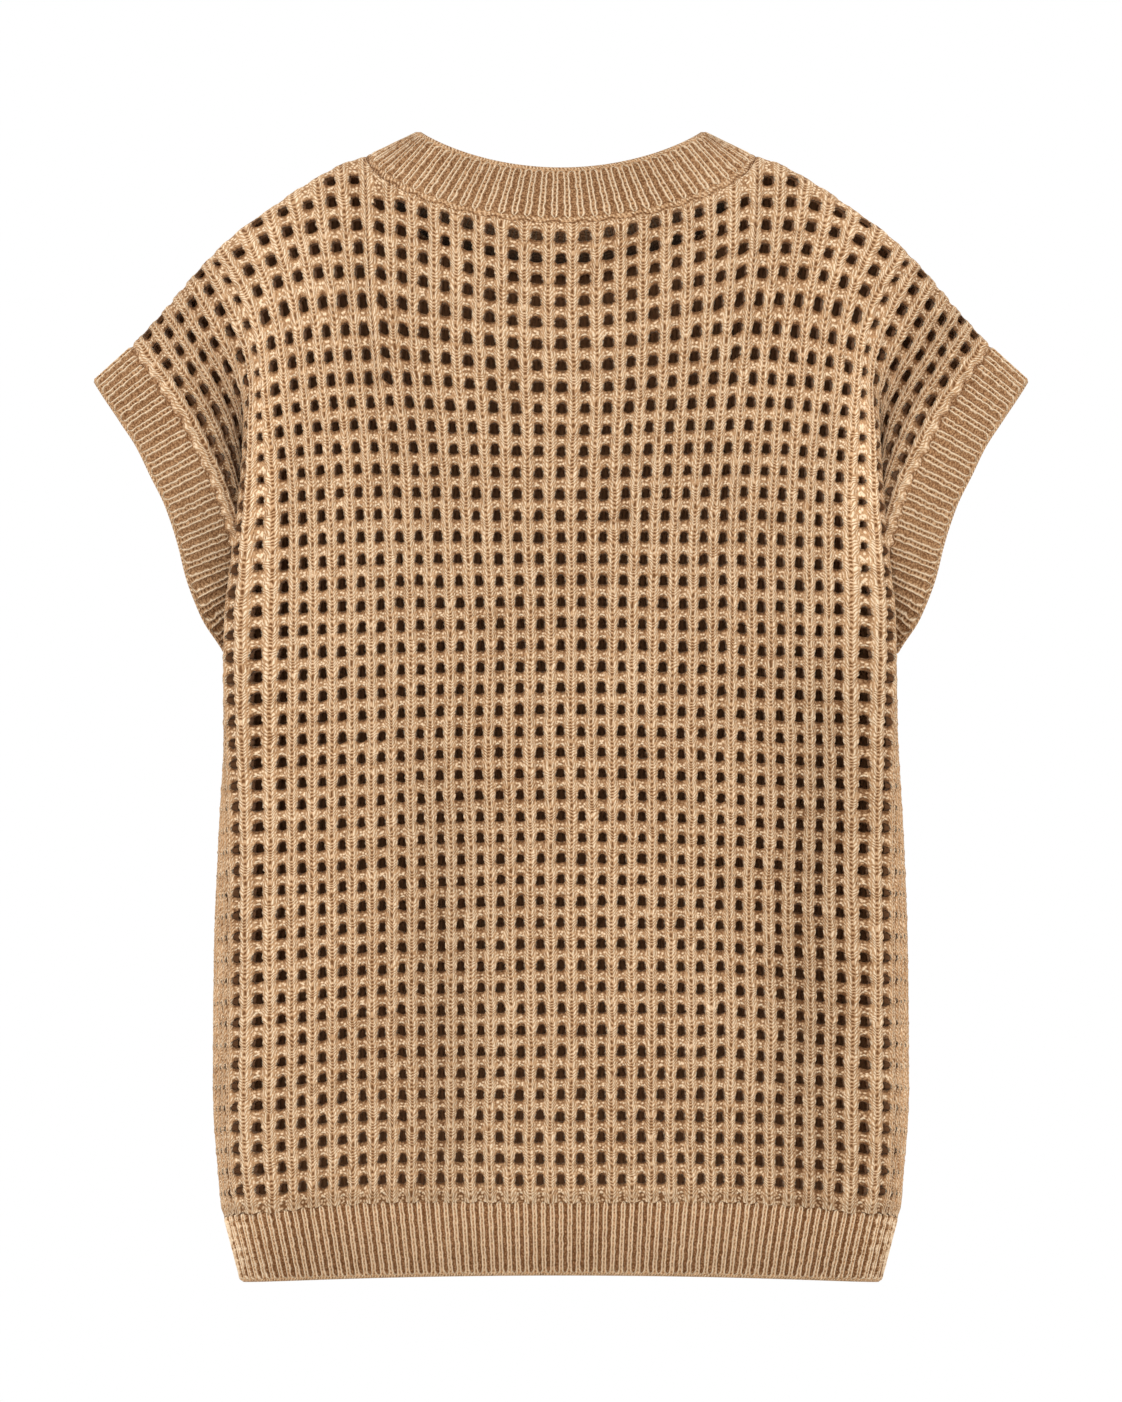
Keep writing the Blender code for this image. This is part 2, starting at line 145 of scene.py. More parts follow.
def curveAt(table, columns, name, at):
    # smooth curve through a column of a table, never past its rows
    rows = np.array(table, float)
    x = rows[:, 0]
    y = rows[:, columns.index(name)]
    step = np.diff(x)
    slope = np.diff(y) / step
    tangent = np.zeros(len(x))
    tangent[0], tangent[-1] = slope[0], slope[-1]
    for i in range(1, len(x) - 1):
        if slope[i - 1] * slope[i] > 0:
            before = 2 * step[i] + step[i - 1]
            after = step[i] + 2 * step[i - 1]
            tangent[i] = (before + after) / (before / slope[i - 1] + after / slope[i])
    at = np.clip(np.asarray(at, float), x[0], x[-1])
    i = np.clip(np.searchsorted(x, at) - 1, 0, len(step) - 1)
    t = (at - x[i]) / step[i]
    return (
        y[i] * (1 + 2 * t) * (1 - t) ** 2
        + y[i + 1] * t * t * (3 - 2 * t)
        + step[i] * (tangent[i] * t * (1 - t) ** 2 - tangent[i + 1] * t * t * (1 - t))
    )


def between(start, startWay, end, endWay, t):
    # smooth step from start to end that leaves and arrives at the given slopes
    return (
        start * (1 + 2 * t) * (1 - t) ** 2
        + end * t * t * (3 - 2 * t)
        + startWay * t * (1 - t) ** 2
        - endWay * t * t * (1 - t)
    )


def bendOf(at9, atGuide):
    # square and cubic parts of a bend with these heights at wale 9 and the guide wale
    guide = form["guideWale"]
    cubic = (atGuide / guide**2 - at9 / 81) / (guide - 9)
    return at9 / 81 - 9 * cubic, cubic


def spread(wale, course):
    # x, depth and height of a wale at a course, before the shoulder is rounded
    wale = np.abs(wale)
    course = np.asarray(course, float)
    flat = {name: curveAt(flatTable, flatColumns, name, course) for name in flatColumns[1:]}
    side = {name: curveAt(sideTable, sideColumns, name, course) for name in sideColumns[1:]}
    guide, turnWale, hollow, pace = (form[key] for key in ("guideWale", "turnWale", "hollow", "turnPace"))
    level = form["hemTop"] + form["course"] * course
    pitch = flat["pitch"]
    wide2, wide3 = bendOf(flat["x9"] - 9 * pitch, flat["guideX"] - guide * pitch)
    high2, high3 = bendOf(flat["rise9"], flat["riseGuide"])
    deeper = (flat["depthMiddle"] - flat["depthGuide"]) / guide**hollow

    inner = np.minimum(wale, guide)
    x = pitch * inner + wide2 * inner**2 + wide3 * inner**3
    depth = flat["depthMiddle"] - deeper * inner**hollow
    height = level + high2 * inner**2 + high3 * inner**3
    xWay = pitch + 2 * wide2 * inner + 3 * wide3 * inner**2
    depthWay = -hollow * deeper * inner ** (hollow - 1)

    turn = np.radians(side["turnHeading"])
    edge = np.radians(side["edgeHeading"])
    near = turnWale - guide
    far = form["sideWale"] - turnWale
    opened = 1 - np.exp(-np.maximum(course - form["underarm"], 0) / form["armholeRound"])
    edgeDepth = side["edgeDepth"] * opened
    t = np.clip((wale - guide) / near, 0, 1)
    s = np.clip((wale - turnWale) / far, 0, 1)
    turnDrop = level - side["turnDrop"]
    edgeDrop = level - side["edgeDrop"]
    slant = (edgeDrop - height) / (form["sideWale"] - guide)
    out = []
    for first, firstWay, middle, middleWay, last, lastWay in (
        (x, xWay, side["turnX"], pace * np.cos(turn), side["edgeX"], pace * np.cos(edge)),
        (depth, depthWay, side["turnDepth"], -pace * np.sin(turn), edgeDepth, -pace * np.sin(edge)),
        (height, 2 * high2 * inner + 3 * high3 * inner**2, turnDrop, slant, edgeDrop, slant),
    ):
        one = between(first, firstWay * near, middle, middleWay * near, t)
        two = between(middle, middleWay * far, last, lastWay * far, s)
        out.append(np.where(wale <= turnWale, one, two))
    return np.where(wale <= guide, (x, depth, height), out)


def neckHeight(front, x):
    inside = np.clip(1 - (np.abs(x) / form["neckX"]) ** 2, 0, 1)
    return form["neckZ"] - form["neckDrop"][front] * inside ** form["neckCurve"][front]


def topLine(front):
    # course and x at which each wale ends on the neck seam or the shoulder seam
    wales = np.arange(0, 21.2, 0.01)
    low = np.full(wales.shape, 36.0)
    high = np.full(wales.shape, 48.0)
    for _ in range(34):      # halves the gap between them each time
        course = (low + high) / 2
        x, _, height = spread(wales, course)
        shoulder = curveAt(shoulderTable, shoulderColumns, "height", x)
        line = np.where(wales < form["neckWale"], neckHeight(front, x), shoulder)
        low = np.where(height < line, course, low)
        high = np.where(height < line, high, course)
    return wales, low, spread(wales, low)[0]


topLines = {front: topLine(front) for front in (False, True)}


def topCourse(front, wale):
    wales, course, _ = topLines[front]
    return np.interp(np.abs(wale), wales, course)


def hiddenAt(wale):
    share = (np.abs(wale) - form["hiddenWale"]) / (form["neckWale"] - form["hiddenWale"])
    return form["hiddenCourses"] * np.clip(share, 0.02, 1)


def wholeDrop(front, wale):
    return topCourse(front, wale) + hiddenAt(wale)


def panelPoint(front, wale, down):
    # point of a panel's outer face, some courses down from its top edge
    size = np.abs(wale)
    hidden = hiddenAt(wale)
    wales, _, topX = topLines[front]
    course = topCourse(front, wale) - (down - hidden * (1 - np.exp(-down / hidden)))
    x, depth, height = spread(wale, np.maximum(course, 0))
    edgeX = np.interp(size, wales, topX)
    neckDepth = form["neckDepth"][front] * np.sqrt(np.clip(1 - (edgeX / form["neckX"]) ** 2, 0, 1))
    neckDepth = np.where(size < form["neckWale"], neckDepth, 0)
    if front:
        depth = depth + form["frontFuller"] * np.clip(1 - (size / form["guideWale"]) ** 2, 0, 1)
    rounded = 1 - np.exp(-down / form["shoulderRound"])
    depth = neckDepth + (depth - neckDepth) * rounded
    depth = np.maximum(depth, form["seam"] / 2)
    return np.stack([np.sign(wale) * x, depth if front else -depth, height], -1)


def unit(vectors):
    return vectors / np.maximum(np.linalg.norm(vectors, axis=-1, keepdims=True), 1e-9)


def panelNormal(front, wale, down, step=0.05):
    total = wholeDrop(front, wale)
    below = np.minimum(down + step, total)
    above = np.maximum(down - step, 0)
    right = np.minimum(wale + step, form["sideWale"])
    left = np.maximum(wale - step, -form["sideWale"])
    across = panelPoint(front, right, np.clip(down + wholeDrop(front, right) - total, 0, None))
    across = across - panelPoint(front, left, np.clip(down + wholeDrop(front, left) - total, 0, None))
    along = panelPoint(front, wale, above) - panelPoint(front, wale, below)
    normal = unit(np.cross(across, along))
    return -normal if front else normal


def softNoise(a, b, seed, waves=7, size=1.0):
    # gentle unevenness: a few sines of different ways and lengths
    own = np.random.default_rng(seed)
    total = np.zeros(np.broadcast(a, b).shape)
    for _ in range(waves):
        way = own.uniform(0, math.pi)
        length = size * own.uniform(0.6, 1.8)
        along = a * math.cos(way) + b * math.sin(way)
        total = total + np.sin(along * 2 * math.pi / length + own.uniform(0, 6.3))
    return total / math.sqrt(waves)


# main folds: the course and wale where each begins and ends, its half width in wales,
# its height in millimetres (less than 0 is a trough) and how much painted light it gets, less than 0 being
# painted shade
folds = {
    False: (
        (-4, -6.0, 23, -5.7, 2.1, -2.4, -0.8),
        (-4, 12.5, 28, 13.3, 2.3, -2.6, -1.2),
        (27, -15.2, 43.5, -14.6, 1.2, 1.6, 1.2),
        (27, 15.1, 43.5, 14.6, 1.2, 1.6, 1.5),
        (26, -18.8, 41.5, -18.4, 1.7, -1.4, -2.9),
        (31, 18.7, 46, 18.0, 1.4, -0.9, -0.6),
        (4, -12.6, 35, -12.9, 2.8, 0.7, 0.4),
        (-6, 18.8, 32, 18.8, 1.9, 0.0, 2.0),
        (-6, -19.0, 25, -19.0, 1.5, 0.0, 1.0),
        (2, 3.5, 30, 2.6, 3.2, 0.8, 0.15),
        (29, -11.0, 50, -12.5, 2.8, 0.0, 0.6),
        (31, 11.0, 50, 12.5, 2.8, 0.0, 0.6),
    ),
    True: (
        (-4, 6.2, 21, 5.4, 2.1, -1.9, -0.6),
        (-4, -12.7, 27, -13.2, 2.3, -2.1, -0.9),
        (2, -3.6, 30, -2.8, 3.0, 0.8, 0.15),
        (23, 15.2, 42, 14.9, 1.1, 1.2, 0.9),
        (24, -15.3, 42, -14.8, 1.0, 1.2, 0.9),
        (28, 18.7, 43, 18.5, 1.6, -1.2, -1.2),
        (28, -18.7, 42, -18.5, 1.5, -1.0, -0.9),
    ),
}


def foldAt(front, wale, course):
    relief, tone = np.zeros(wale.shape), np.zeros(wale.shape)
    for i, (low, lowWale, high, highWale, half, height, light) in enumerate(folds[front]):
        middle = lowWale + (highWale - lowWale) * (course - low) / (high - low)
        middle = middle + 0.35 * np.sin(course / 4.3 + 2 * i)      # no fold is quite straight
        share = np.exp(-(((wale - middle) / half) ** 2))
        share = share * smooth(low, low + 7, course) * smooth(high, high - 6, course)
        relief += height * share
        # painted light on the ridges, painted shade in the troughs
        tone += light * share
    return relief, tone


def vertexNormals(points, faces):
    normals = np.zeros_like(points)
    a, b, c, d = (points[faces[:, i]] for i in range(4))
    face = np.cross(c - a, d - b)
    for i in range(4):
        np.add.at(normals, faces[:, i], face)
    return unit(normals)


def quadsOf(index):
    # the faces between the lines of a grid of points
    return np.stack([index[:-1, :-1], index[:-1, 1:], index[1:, 1:], index[1:, :-1]], -1)


def addPiece(name, points, faces, knit, bake, normals, material, marks):
    # faces are rows of four corners; a corner named twice makes a triangle
    used, index = np.unique(faces, return_inverse=True)
    faces = index.reshape(faces.shape)
    mesh = bpy.data.meshes.new(name)
    rows = [[v for i, v in enumerate(face) if v != face[i - 1]] for face in faces.tolist()]
    mesh.from_pydata((points[used] / 1000).tolist(), [], rows)
    corner = np.zeros(len(mesh.loops), np.int32)
    mesh.loops.foreach_get("vertex_index", corner)
    for mapName, values in (("OFBake", bake), ("knit", knit)):
        layer = mesh.uv_layers.new(name=mapName)
        layer.data.foreach_set("uv", values[used][corner].astype(np.float32).ravel())
    for title, values in marks.items():
        mark = mesh.attributes.new(title, "FLOAT", "POINT")
        mark.data.foreach_set("value", values[used].astype(np.float32))
    mesh.polygons.foreach_set("use_smooth", [True] * len(mesh.polygons))
    mesh.update()
    mesh.normals_split_custom_set_from_vertices(normals[used].tolist())
    mesh.materials.append(material)
    piece = bpy.data.objects.new(name, mesh)
    scene.collection.objects.link(piece)
    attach(piece, "root")
    triangles = sum(len(row) - 2 for row in rows)
    print(f"{name}: {triangles} triangles")
    return piece


# the open net of a panel: a hole in each cell of one wale by one course
net = {
    "holeWide": 0.43,          # of a cell
    "holeHigh": 0.43,
    "wideAtTop": 0.05,         # how much wider the holes are between the shoulders
    "hiddenHoles": 0.8,        # size of the front's holes beside the back's
    "uneven": 0.06,            # in size
    "stray": (0.012, 0.015),   # across and up, in cells
    "drift": 0.035,            # how far the whole net wanders, in cells
    "strandHeight": 1.8,       # millimetres, like all heights below
    "lobe": 0.7,               # swell of a wale beside each hole
    "sideRelief": 0.7,         # how much more the wales stand out on the sides
    "sideSink": 2.3,           # so that the raised wales stay within the outline
    "strandAt": 0.12,          # of a wale, from its middle to the crest of each of its two strands
    "strandHalf": 0.2,
    "barSink": 1.0,
    "barBulge": 0.5,
    "rimSink": 0.45,
    "rimJitter": 0.05,
    "rimDepth": 2.3,           # thickness of the knit round a hole
    "rimTaper": 0.93,
    "rough": 0.12,
    "ridgeHoles": 0.4,         # how much smaller the holes are along the ridge by each armhole
    "cordSwing": 2.1,          # swing of the last wale over an armband at each course
    "cordLift": 1.1,
    "turnIn": 1.4,             # the edge of an armhole turns in under itself
    "hemPoint": 1.5,           # how far each wale runs down over the hem band
    "creaseDepth": 0.9,
    "frontSink": 1.6,          # the back overlaps the front a little along the shoulder
}
cellSteps = np.array([-0.5, -0.41, -0.31, -0.21, -0.1, 0, 0.1, 0.21, 0.31, 0.41])
cellLines = len(cellSteps) + 1
holeLow, holeHigh = 3, 7       # steps of the cell between which the hole lies
holeAt = cellSteps[holeHigh]


def lineUp(first, last, before, after):
    # grid lines over the cells centred first, first + 1 ... last, with plain strips at both ends
    centres = np.arange(first, last + 0.01)
    cells = (centres[:, None] + cellSteps).ravel()
    return np.concatenate([before, cells, [centres[-1] + 0.5], after])


def smooth(low, high, value):
    t = np.clip((value - low) / (high - low), 0, 1)
    return t * t * (3 - 2 * t)


def buildNet(front, shift, seed):
    n = net
    own = np.random.default_rng(seed)
    edge, underarm = form["sideWale"], form["underarm"]
    lastHole = 20 - shift
    plain = 9 if front else 5      # lines in each plain strip round the net
    strip = np.linspace(lastHole + 0.5, edge, plain)[1:]
    wales = lineUp(-lastHole, lastHole, -strip[::-1], strip)
    courses = lineUp(1 + shift, 48, np.linspace(0, 0.5 + shift, plain)[:-1], ())
    wide, high = len(wales), len(courses)
    waleAt, courseAt = np.meshgrid(wales, courses)
    size = np.abs(waleAt)
    total = wholeDrop(front, wales)
    below = total - courseAt
    lastRow = np.searchsorted(courses, total)

    # each hole's own size and place
    columns = np.arange(-lastHole, lastHole + 0.5)
    rows = np.arange(1 + shift, 47)
    room = np.min([wholeDrop(front, columns + beside) for beside in (-0.3, 0, 0.3)], axis=0)
    exists = rows[:, None] + 0.38 < room
    shape = exists.shape
    holeWale, holeCourse = np.meshgrid(np.abs(columns), rows)
    tight = n["hiddenHoles"] if front else 1.0
    chest = smooth(35, 41, holeCourse) * smooth(14, 9, holeWale)
    onRidge = smooth(26, 31, holeCourse) * smooth(48, 45, holeCourse) * (np.abs(holeWale - 15) < 0.6)
    fullWide = n["holeWide"] + n["wideAtTop"] * chest
    halfWide = tight * fullWide / 2 * (1 + n["uneven"] * own.standard_normal(shape))
    halfHigh = tight * n["holeHigh"] / 2 * (1 + n["uneven"] * own.standard_normal(shape))
    halfWide *= 1 - n["ridgeHoles"] * onRidge
    halfHigh *= 1 - n["ridgeHoles"] * onRidge
    strayWide = n["stray"][0] * own.standard_normal(shape)
    strayHigh = n["stray"][1] * own.standard_normal(shape)
    firstRow = np.searchsorted(courses, rows - 0.5 - 1e-6)
    firstColumn = np.searchsorted(wales, columns - 0.5 - 1e-6)
    holes = [(r, k, firstRow[r], firstColumn[k]) for r, k in np.argwhere(exists)]

    waleTo, courseTo = waleAt.copy(), courseAt.copy()
    rim, isOpen = np.zeros((2, high, wide))
    for r, k, j, i in holes:
        here = np.ix_(np.arange(j, min(j + cellLines, high)), np.arange(i, i + cellLines))
        a = waleAt[here] - columns[k]
        b = courseAt[here] - rows[r]
        # q is 1 round the hole and less inside it
        q = np.maximum(np.maximum(np.abs(a), np.abs(b)) / holeAt, 0.2)
        fade = np.clip(2.1 - q, 0, 1)
        pa = a / holeAt / q
        pb = b / holeAt / q
        jitter = 1 + n["rimJitter"] * own.standard_normal(a.shape) * (q < 1.3)
        corner = 1 - 0.22 * (pa * pb) ** 2
        tall = np.where(pb > 0, 1.16 - 0.3 * pa**2, 1.04 - 0.1 * pa**2)
        broad = 0.84 + 0.38 * (pb - 0.15) ** 2
        goalA = strayWide[r, k] + halfWide[r, k] * pa * broad * corner * q * jitter
        goalB = strayHigh[r, k] + halfHigh[r, k] * pb * tall * corner * q * jitter
        waleTo[here] = columns[k] + a + fade * (goalA - a)
        courseTo[here] = rows[r] + b + fade * (goalB - b)
        rim[here] = np.clip(1.45 - q, 0, 0.45) / 0.45
        isOpen[here] = 1
    # the whole net wanders a little
    settled = smooth(0, 2, courseAt) * smooth(0, 2, below) * smooth(edge, edge - 2, size)
    waleTo += n["drift"] * settled * softNoise(waleAt * 0.6, courseAt, seed + 1, size=9)
    courseTo += n["drift"] * settled * softNoise(waleAt, courseAt * 0.6, seed + 2, size=9)
    waleTo = np.clip(waleTo, -edge, edge)

    # raised strands, sunk bars
    away = np.abs(wales - (np.round(wales - shift - 0.5) + shift + 0.5))      # from the middle of a wale
    level = np.where(courses >= 0.5 + shift, courses - (np.round(courses - shift) + shift), 0.5)
    strand = n["strandHeight"] * np.sqrt(np.clip(1 - ((away - n["strandAt"]) / n["strandHalf"]) ** 2, 0, 1))
    lower = -n["barSink"] * (1 - smooth(0.19, 0.46, -level))
    upper = n["barBulge"] * smooth(0.5, 0.34, level)
    upper = upper - (n["barSink"] + n["barBulge"]) * smooth(0.33, 0.2, level)
    lift = np.maximum(strand, np.where(level < 0, lower, upper)[:, None])
    lobe = np.exp(-(((away - 0.27) / 0.08) ** 2)) * (np.abs(wales) <= lastHole + 0.5)
    lift = lift + n["lobe"] * lobe * np.exp(-(((level + 0.02) / 0.17) ** 2))[:, None]
    lift *= 1 + n["sideRelief"] * smooth(14.5, 16.5, size)
    lift -= n["rimSink"] * rim
    lift += n["rough"] * own.standard_normal(lift.shape)
    crease = n["creaseDepth"] * softNoise(waleAt * 0.45, courseAt, seed + 3, size=16) * settled
    # the folds' painted light and shade go with each point
    relief, tone = foldAt(front, waleAt, courseAt)
    crease = crease + relief * settled
    # the edges sink into the seams
    byHem = 0.55 * (1 - smooth(0, 0.4, courseAt))
    byHem = byHem + 0.35 * (1 - smooth(0.2, 1.6, courseAt)) * smooth(15, 17, size)
    lift = lift * (1 - byHem) + 0.15 * smooth(0.15, 0, courseAt)
    sideSeam = smooth(edge - 0.5, edge, size) * smooth(underarm + 1, underarm, courseAt)
    lift = lift * (1 - sideSeam) - 0.3 * sideSeam
    flank = smooth(16, 18.5, size) * smooth(underarm + 2, underarm - 1, courseAt)
    lift -= n["sideSink"] * flank * (0.4 + 0.6 * smooth(0, 2, courseAt))
    lift = lift * smooth(-0.2, 0.9, below) - 0.6 * smooth(0.25, 0, below)
    lift = lift + crease
    if front:
        lift -= n["frontSink"] * np.exp(-np.clip(below, 0, None) / 1.2) * smooth(7.5, 9, size)

    down = np.clip(total - courseTo, 0, None)
    down[np.arange(high)[:, None] >= lastRow] = 0
    flatPoints = panelPoint(front, waleTo, down)
    normals = panelNormal(front, waleAt, np.clip(below, 0, None))
    # along an armhole the last wale is a cord that swings over the band
    overBand = smooth(underarm + 0.3, underarm + 1.3, courseAt)
    cord = smooth(edge - 0.6, edge, size) * overBand * smooth(0, 1, below)
    swing = 0.5 + 0.5 * np.cos(2 * math.pi * (courseAt - shift))
    lift = lift + n["cordLift"] * cord * (0.5 + 0.5 * swing)
    lift = np.where((size > edge - 0.01) & (courseAt > underarm), -n["turnIn"], lift)
    # painted light on the armhole cord, painted shade along the strip above the hem
    tone = tone + 0.4 * cord - 1.2 * smooth(0.6, 0.2, courseAt)
    outward = unit(np.gradient(flatPoints, axis=1)) * np.sign(waleAt)[..., None]
    points = flatPoints + normals * lift[..., None] + outward * (n["cordSwing"] * cord * swing)[..., None]
    # at the hem each wale ends in a point
    pointed = 0.5 + 0.5 * np.cos(2 * math.pi * (waleAt - shift - 0.5))
    points[..., 2] -= n["hemPoint"] * smooth(0.3, 0, courseAt) * pointed

    # corners above the top edge fold onto it
    index = np.minimum(np.arange(high)[:, None], lastRow) * wide + np.arange(wide)
    knitUV = np.stack([waleAt, courseAt], -1)
    cut = np.zeros((high - 1, wide - 1), bool)
    ringFaces, rimPoints, rimUV, rimPaintedShade = [], [], [], []
    for r, k, j, i in holes:
        below, above, left, right = j + holeLow, j + holeHigh, i + holeLow, i + holeHigh
        cut[below:above, left:right] = True
        ring = [(below, x) for x in range(left, right)] + [(y, right) for y in range(below, above)]
        ring += [(above, x) for x in range(right, left, -1)] + [(y, left) for y in range(above, below, -1)]
        ys, xs = np.array(ring).T
        outer = points[ys, xs]
        middle = outer.mean(0)
        sunk = n["rimDepth"] + lift[ys, xs][:, None]
        start = high * wide + len(ring) * len(rimPoints)
        rimPoints.append(middle + (outer - middle) * n["rimTaper"] - normals[ys, xs].mean(0) * sunk)
        centre = np.array([columns[k], rows[r]])
        rimUV.append(centre + (knitUV[ys, xs] - centre) * 0.8)
        # each rim keeps the painted light and shade of its ring
        rimPaintedShade.append(tone[ys, xs])
        upper = index[ys, xs]
        for q in range(len(ring)):
            p = (q + 1) % len(ring)
            ringFaces.append((upper[q], start + q, start + p, upper[p]))
    quads = quadsOf(index)[~cut]
    alive = np.array([len(set(face)) > 2 for face in quads.tolist()])
    faces = np.concatenate([quads[alive], np.array(ringFaces)])
    points = np.concatenate([points.reshape(-1, 3)] + rimPoints)
    knitUV = np.concatenate([knitUV.reshape(-1, 2)] + rimUV)
    tone = np.concatenate([tone.ravel()] + rimPaintedShade)
    isOpen = np.concatenate([isOpen.ravel(), np.ones(len(points) - high * wide)])
    # on the outer face the rows run right and up; the front panel is seen from behind that way
    if front:
        faces = faces[:, ::-1]
    return points, faces, knitUV, {"painted shade": tone, "hole near": isOpen}


def buildPanel(nodeName, front, shift, seed, material):
    points, faces, uv, marks = buildNet(front, shift, seed)
    normals = vertexNormals(points, faces)
    bake = np.stack([(uv[:, 0] + 21) / 43, uv[:, 1] / 48], -1)
    knit = uv - (shift + 0.5, shift)
    middle = uv[faces].mean(1)[:, 0]
    split = 0.5 - shift
    pieces = []
    for side, chosen in (("left", middle < split), ("right", middle >= split)):
        name = f"{nodeName}_{side}"
        piece = addPiece(name, points, faces[chosen], knit, bake, normals, material, marks)
        pieces.append(piece)
        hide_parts(nodeName)
    return pieces


# the ribbed bands: each rib has two fine strands, with a flat valley to the next rib
bandSet = {
    "strandHeight": 1.2,       # millimetres
    "strandAt": 0.18,          # of a rib, from its middle to each strand
    "strandHalf": 0.13,
    "valley": -0.5,
    "plainHeight": 0.3,        # where a band has no ribs
    "uneven": 0.03,
    "rough": 0.05,
    "wall": 2.6,
    "tuck": 2.2,               # how far the band runs on under the panel's edge
    "tuckSink": 1.7,
}
ribSteps = np.array([-0.5, -0.4, -0.31, -0.25, -0.18, -0.1, 0, 0.1, 0.18, 0.25, 0.31, 0.4])
bandRows = (0, 0.03, 0.07, 0.11, 0.16, 0.25, 0.35, 0.45, 0.55, 0.65, 0.75, 0.84, 0.9, 0.94, 0.97, 1)
neckSet = {
    "ribs": (36, 42),          # back, front
    "stitches": 14,            # from the seam to the free edge
    "plainSeam": 0.1,          # parts of the band without ribs
    "plainEdge": 0.05,
    "seamSink": 0.8,
    "edgeX": 77.5,             # the free edge: half its width, its depth, how far it stays above the seam
    "edgeDepth": (49, 53),
    "edgeUp": (16, 15),
    "edgeCurve": 1.75,
    "lean": 0.03,              # how far the ribs fan out from the shoulders
    "shade": -0.6,             # darker towards the seam; less than 0 is lighter
    "insideShade": 7,
    "ground": 0.62,
    "valley": 0.52,
    "seamShade": 0.75,
    "seamWaves": 0.472,
}
armSet = {
    "ribs": 48,
    "stitches": 13,
    "plainSeam": 0.03,
    "plainEdge": 0.02,
    "seamSink": 0.6,
    "width": 28.4,
    "deep": 1.0,
    "shade": {-1: 1.9, 1: 0.5},      # left and right, towards the underarm
    # painted light over the armband, most near its seam
    "lighter": 0.4,
    "insideShade": 0,
    "ground": 0.55,
    "valley": 0.44,
    "seamShade": 0.5,
    "seamWaves": 0.9,
}
hemSet = {
    "ribs": 162,
    "stitches": 18,
    "plainSeam": 0.01,
    "plainEdge": 0.025,
    "seamSink": 0.5,
    "height": 40.2,
    "sag": 4.4,                # the free edge hangs this much lower at x = sagX
    "sagX": 177,
    "startWide": 0.994,        # the band beside the seam, then its free edge beside the band's start
    "edgeWide": 0.95,
    "edgeDepth": 0.93,
    "deep": 0.5,               # ribs are wider where the seam runs from back to front
    "shade": -1.6,
    "insideShade": 0,
    "ground": 0.74,
    "valley": 0.74,
    "seamShade": 0.0,
    "seamWaves": 0.48,
}


def resample(line, values, parts, deep=1.0):
    # deep: how much of the line's depth counts in its length
    steps = np.linalg.norm(np.diff(line, axis=0) * (1, deep, 1), axis=1)
    length = np.concatenate([[0], np.cumsum(steps)])
    length /= length[-1]
    return np.stack([np.interp(parts, length, values[:, i]) for i in range(values.shape[1])], -1)


def ribParts(ribs):
    # even parts of a line at the steps of each rib, without the last
    return ((np.arange(ribs)[:, None] + ribSteps + 0.5) / ribs).ravel()


def closeRing(values):
    return np.concatenate([values, values[:1]])


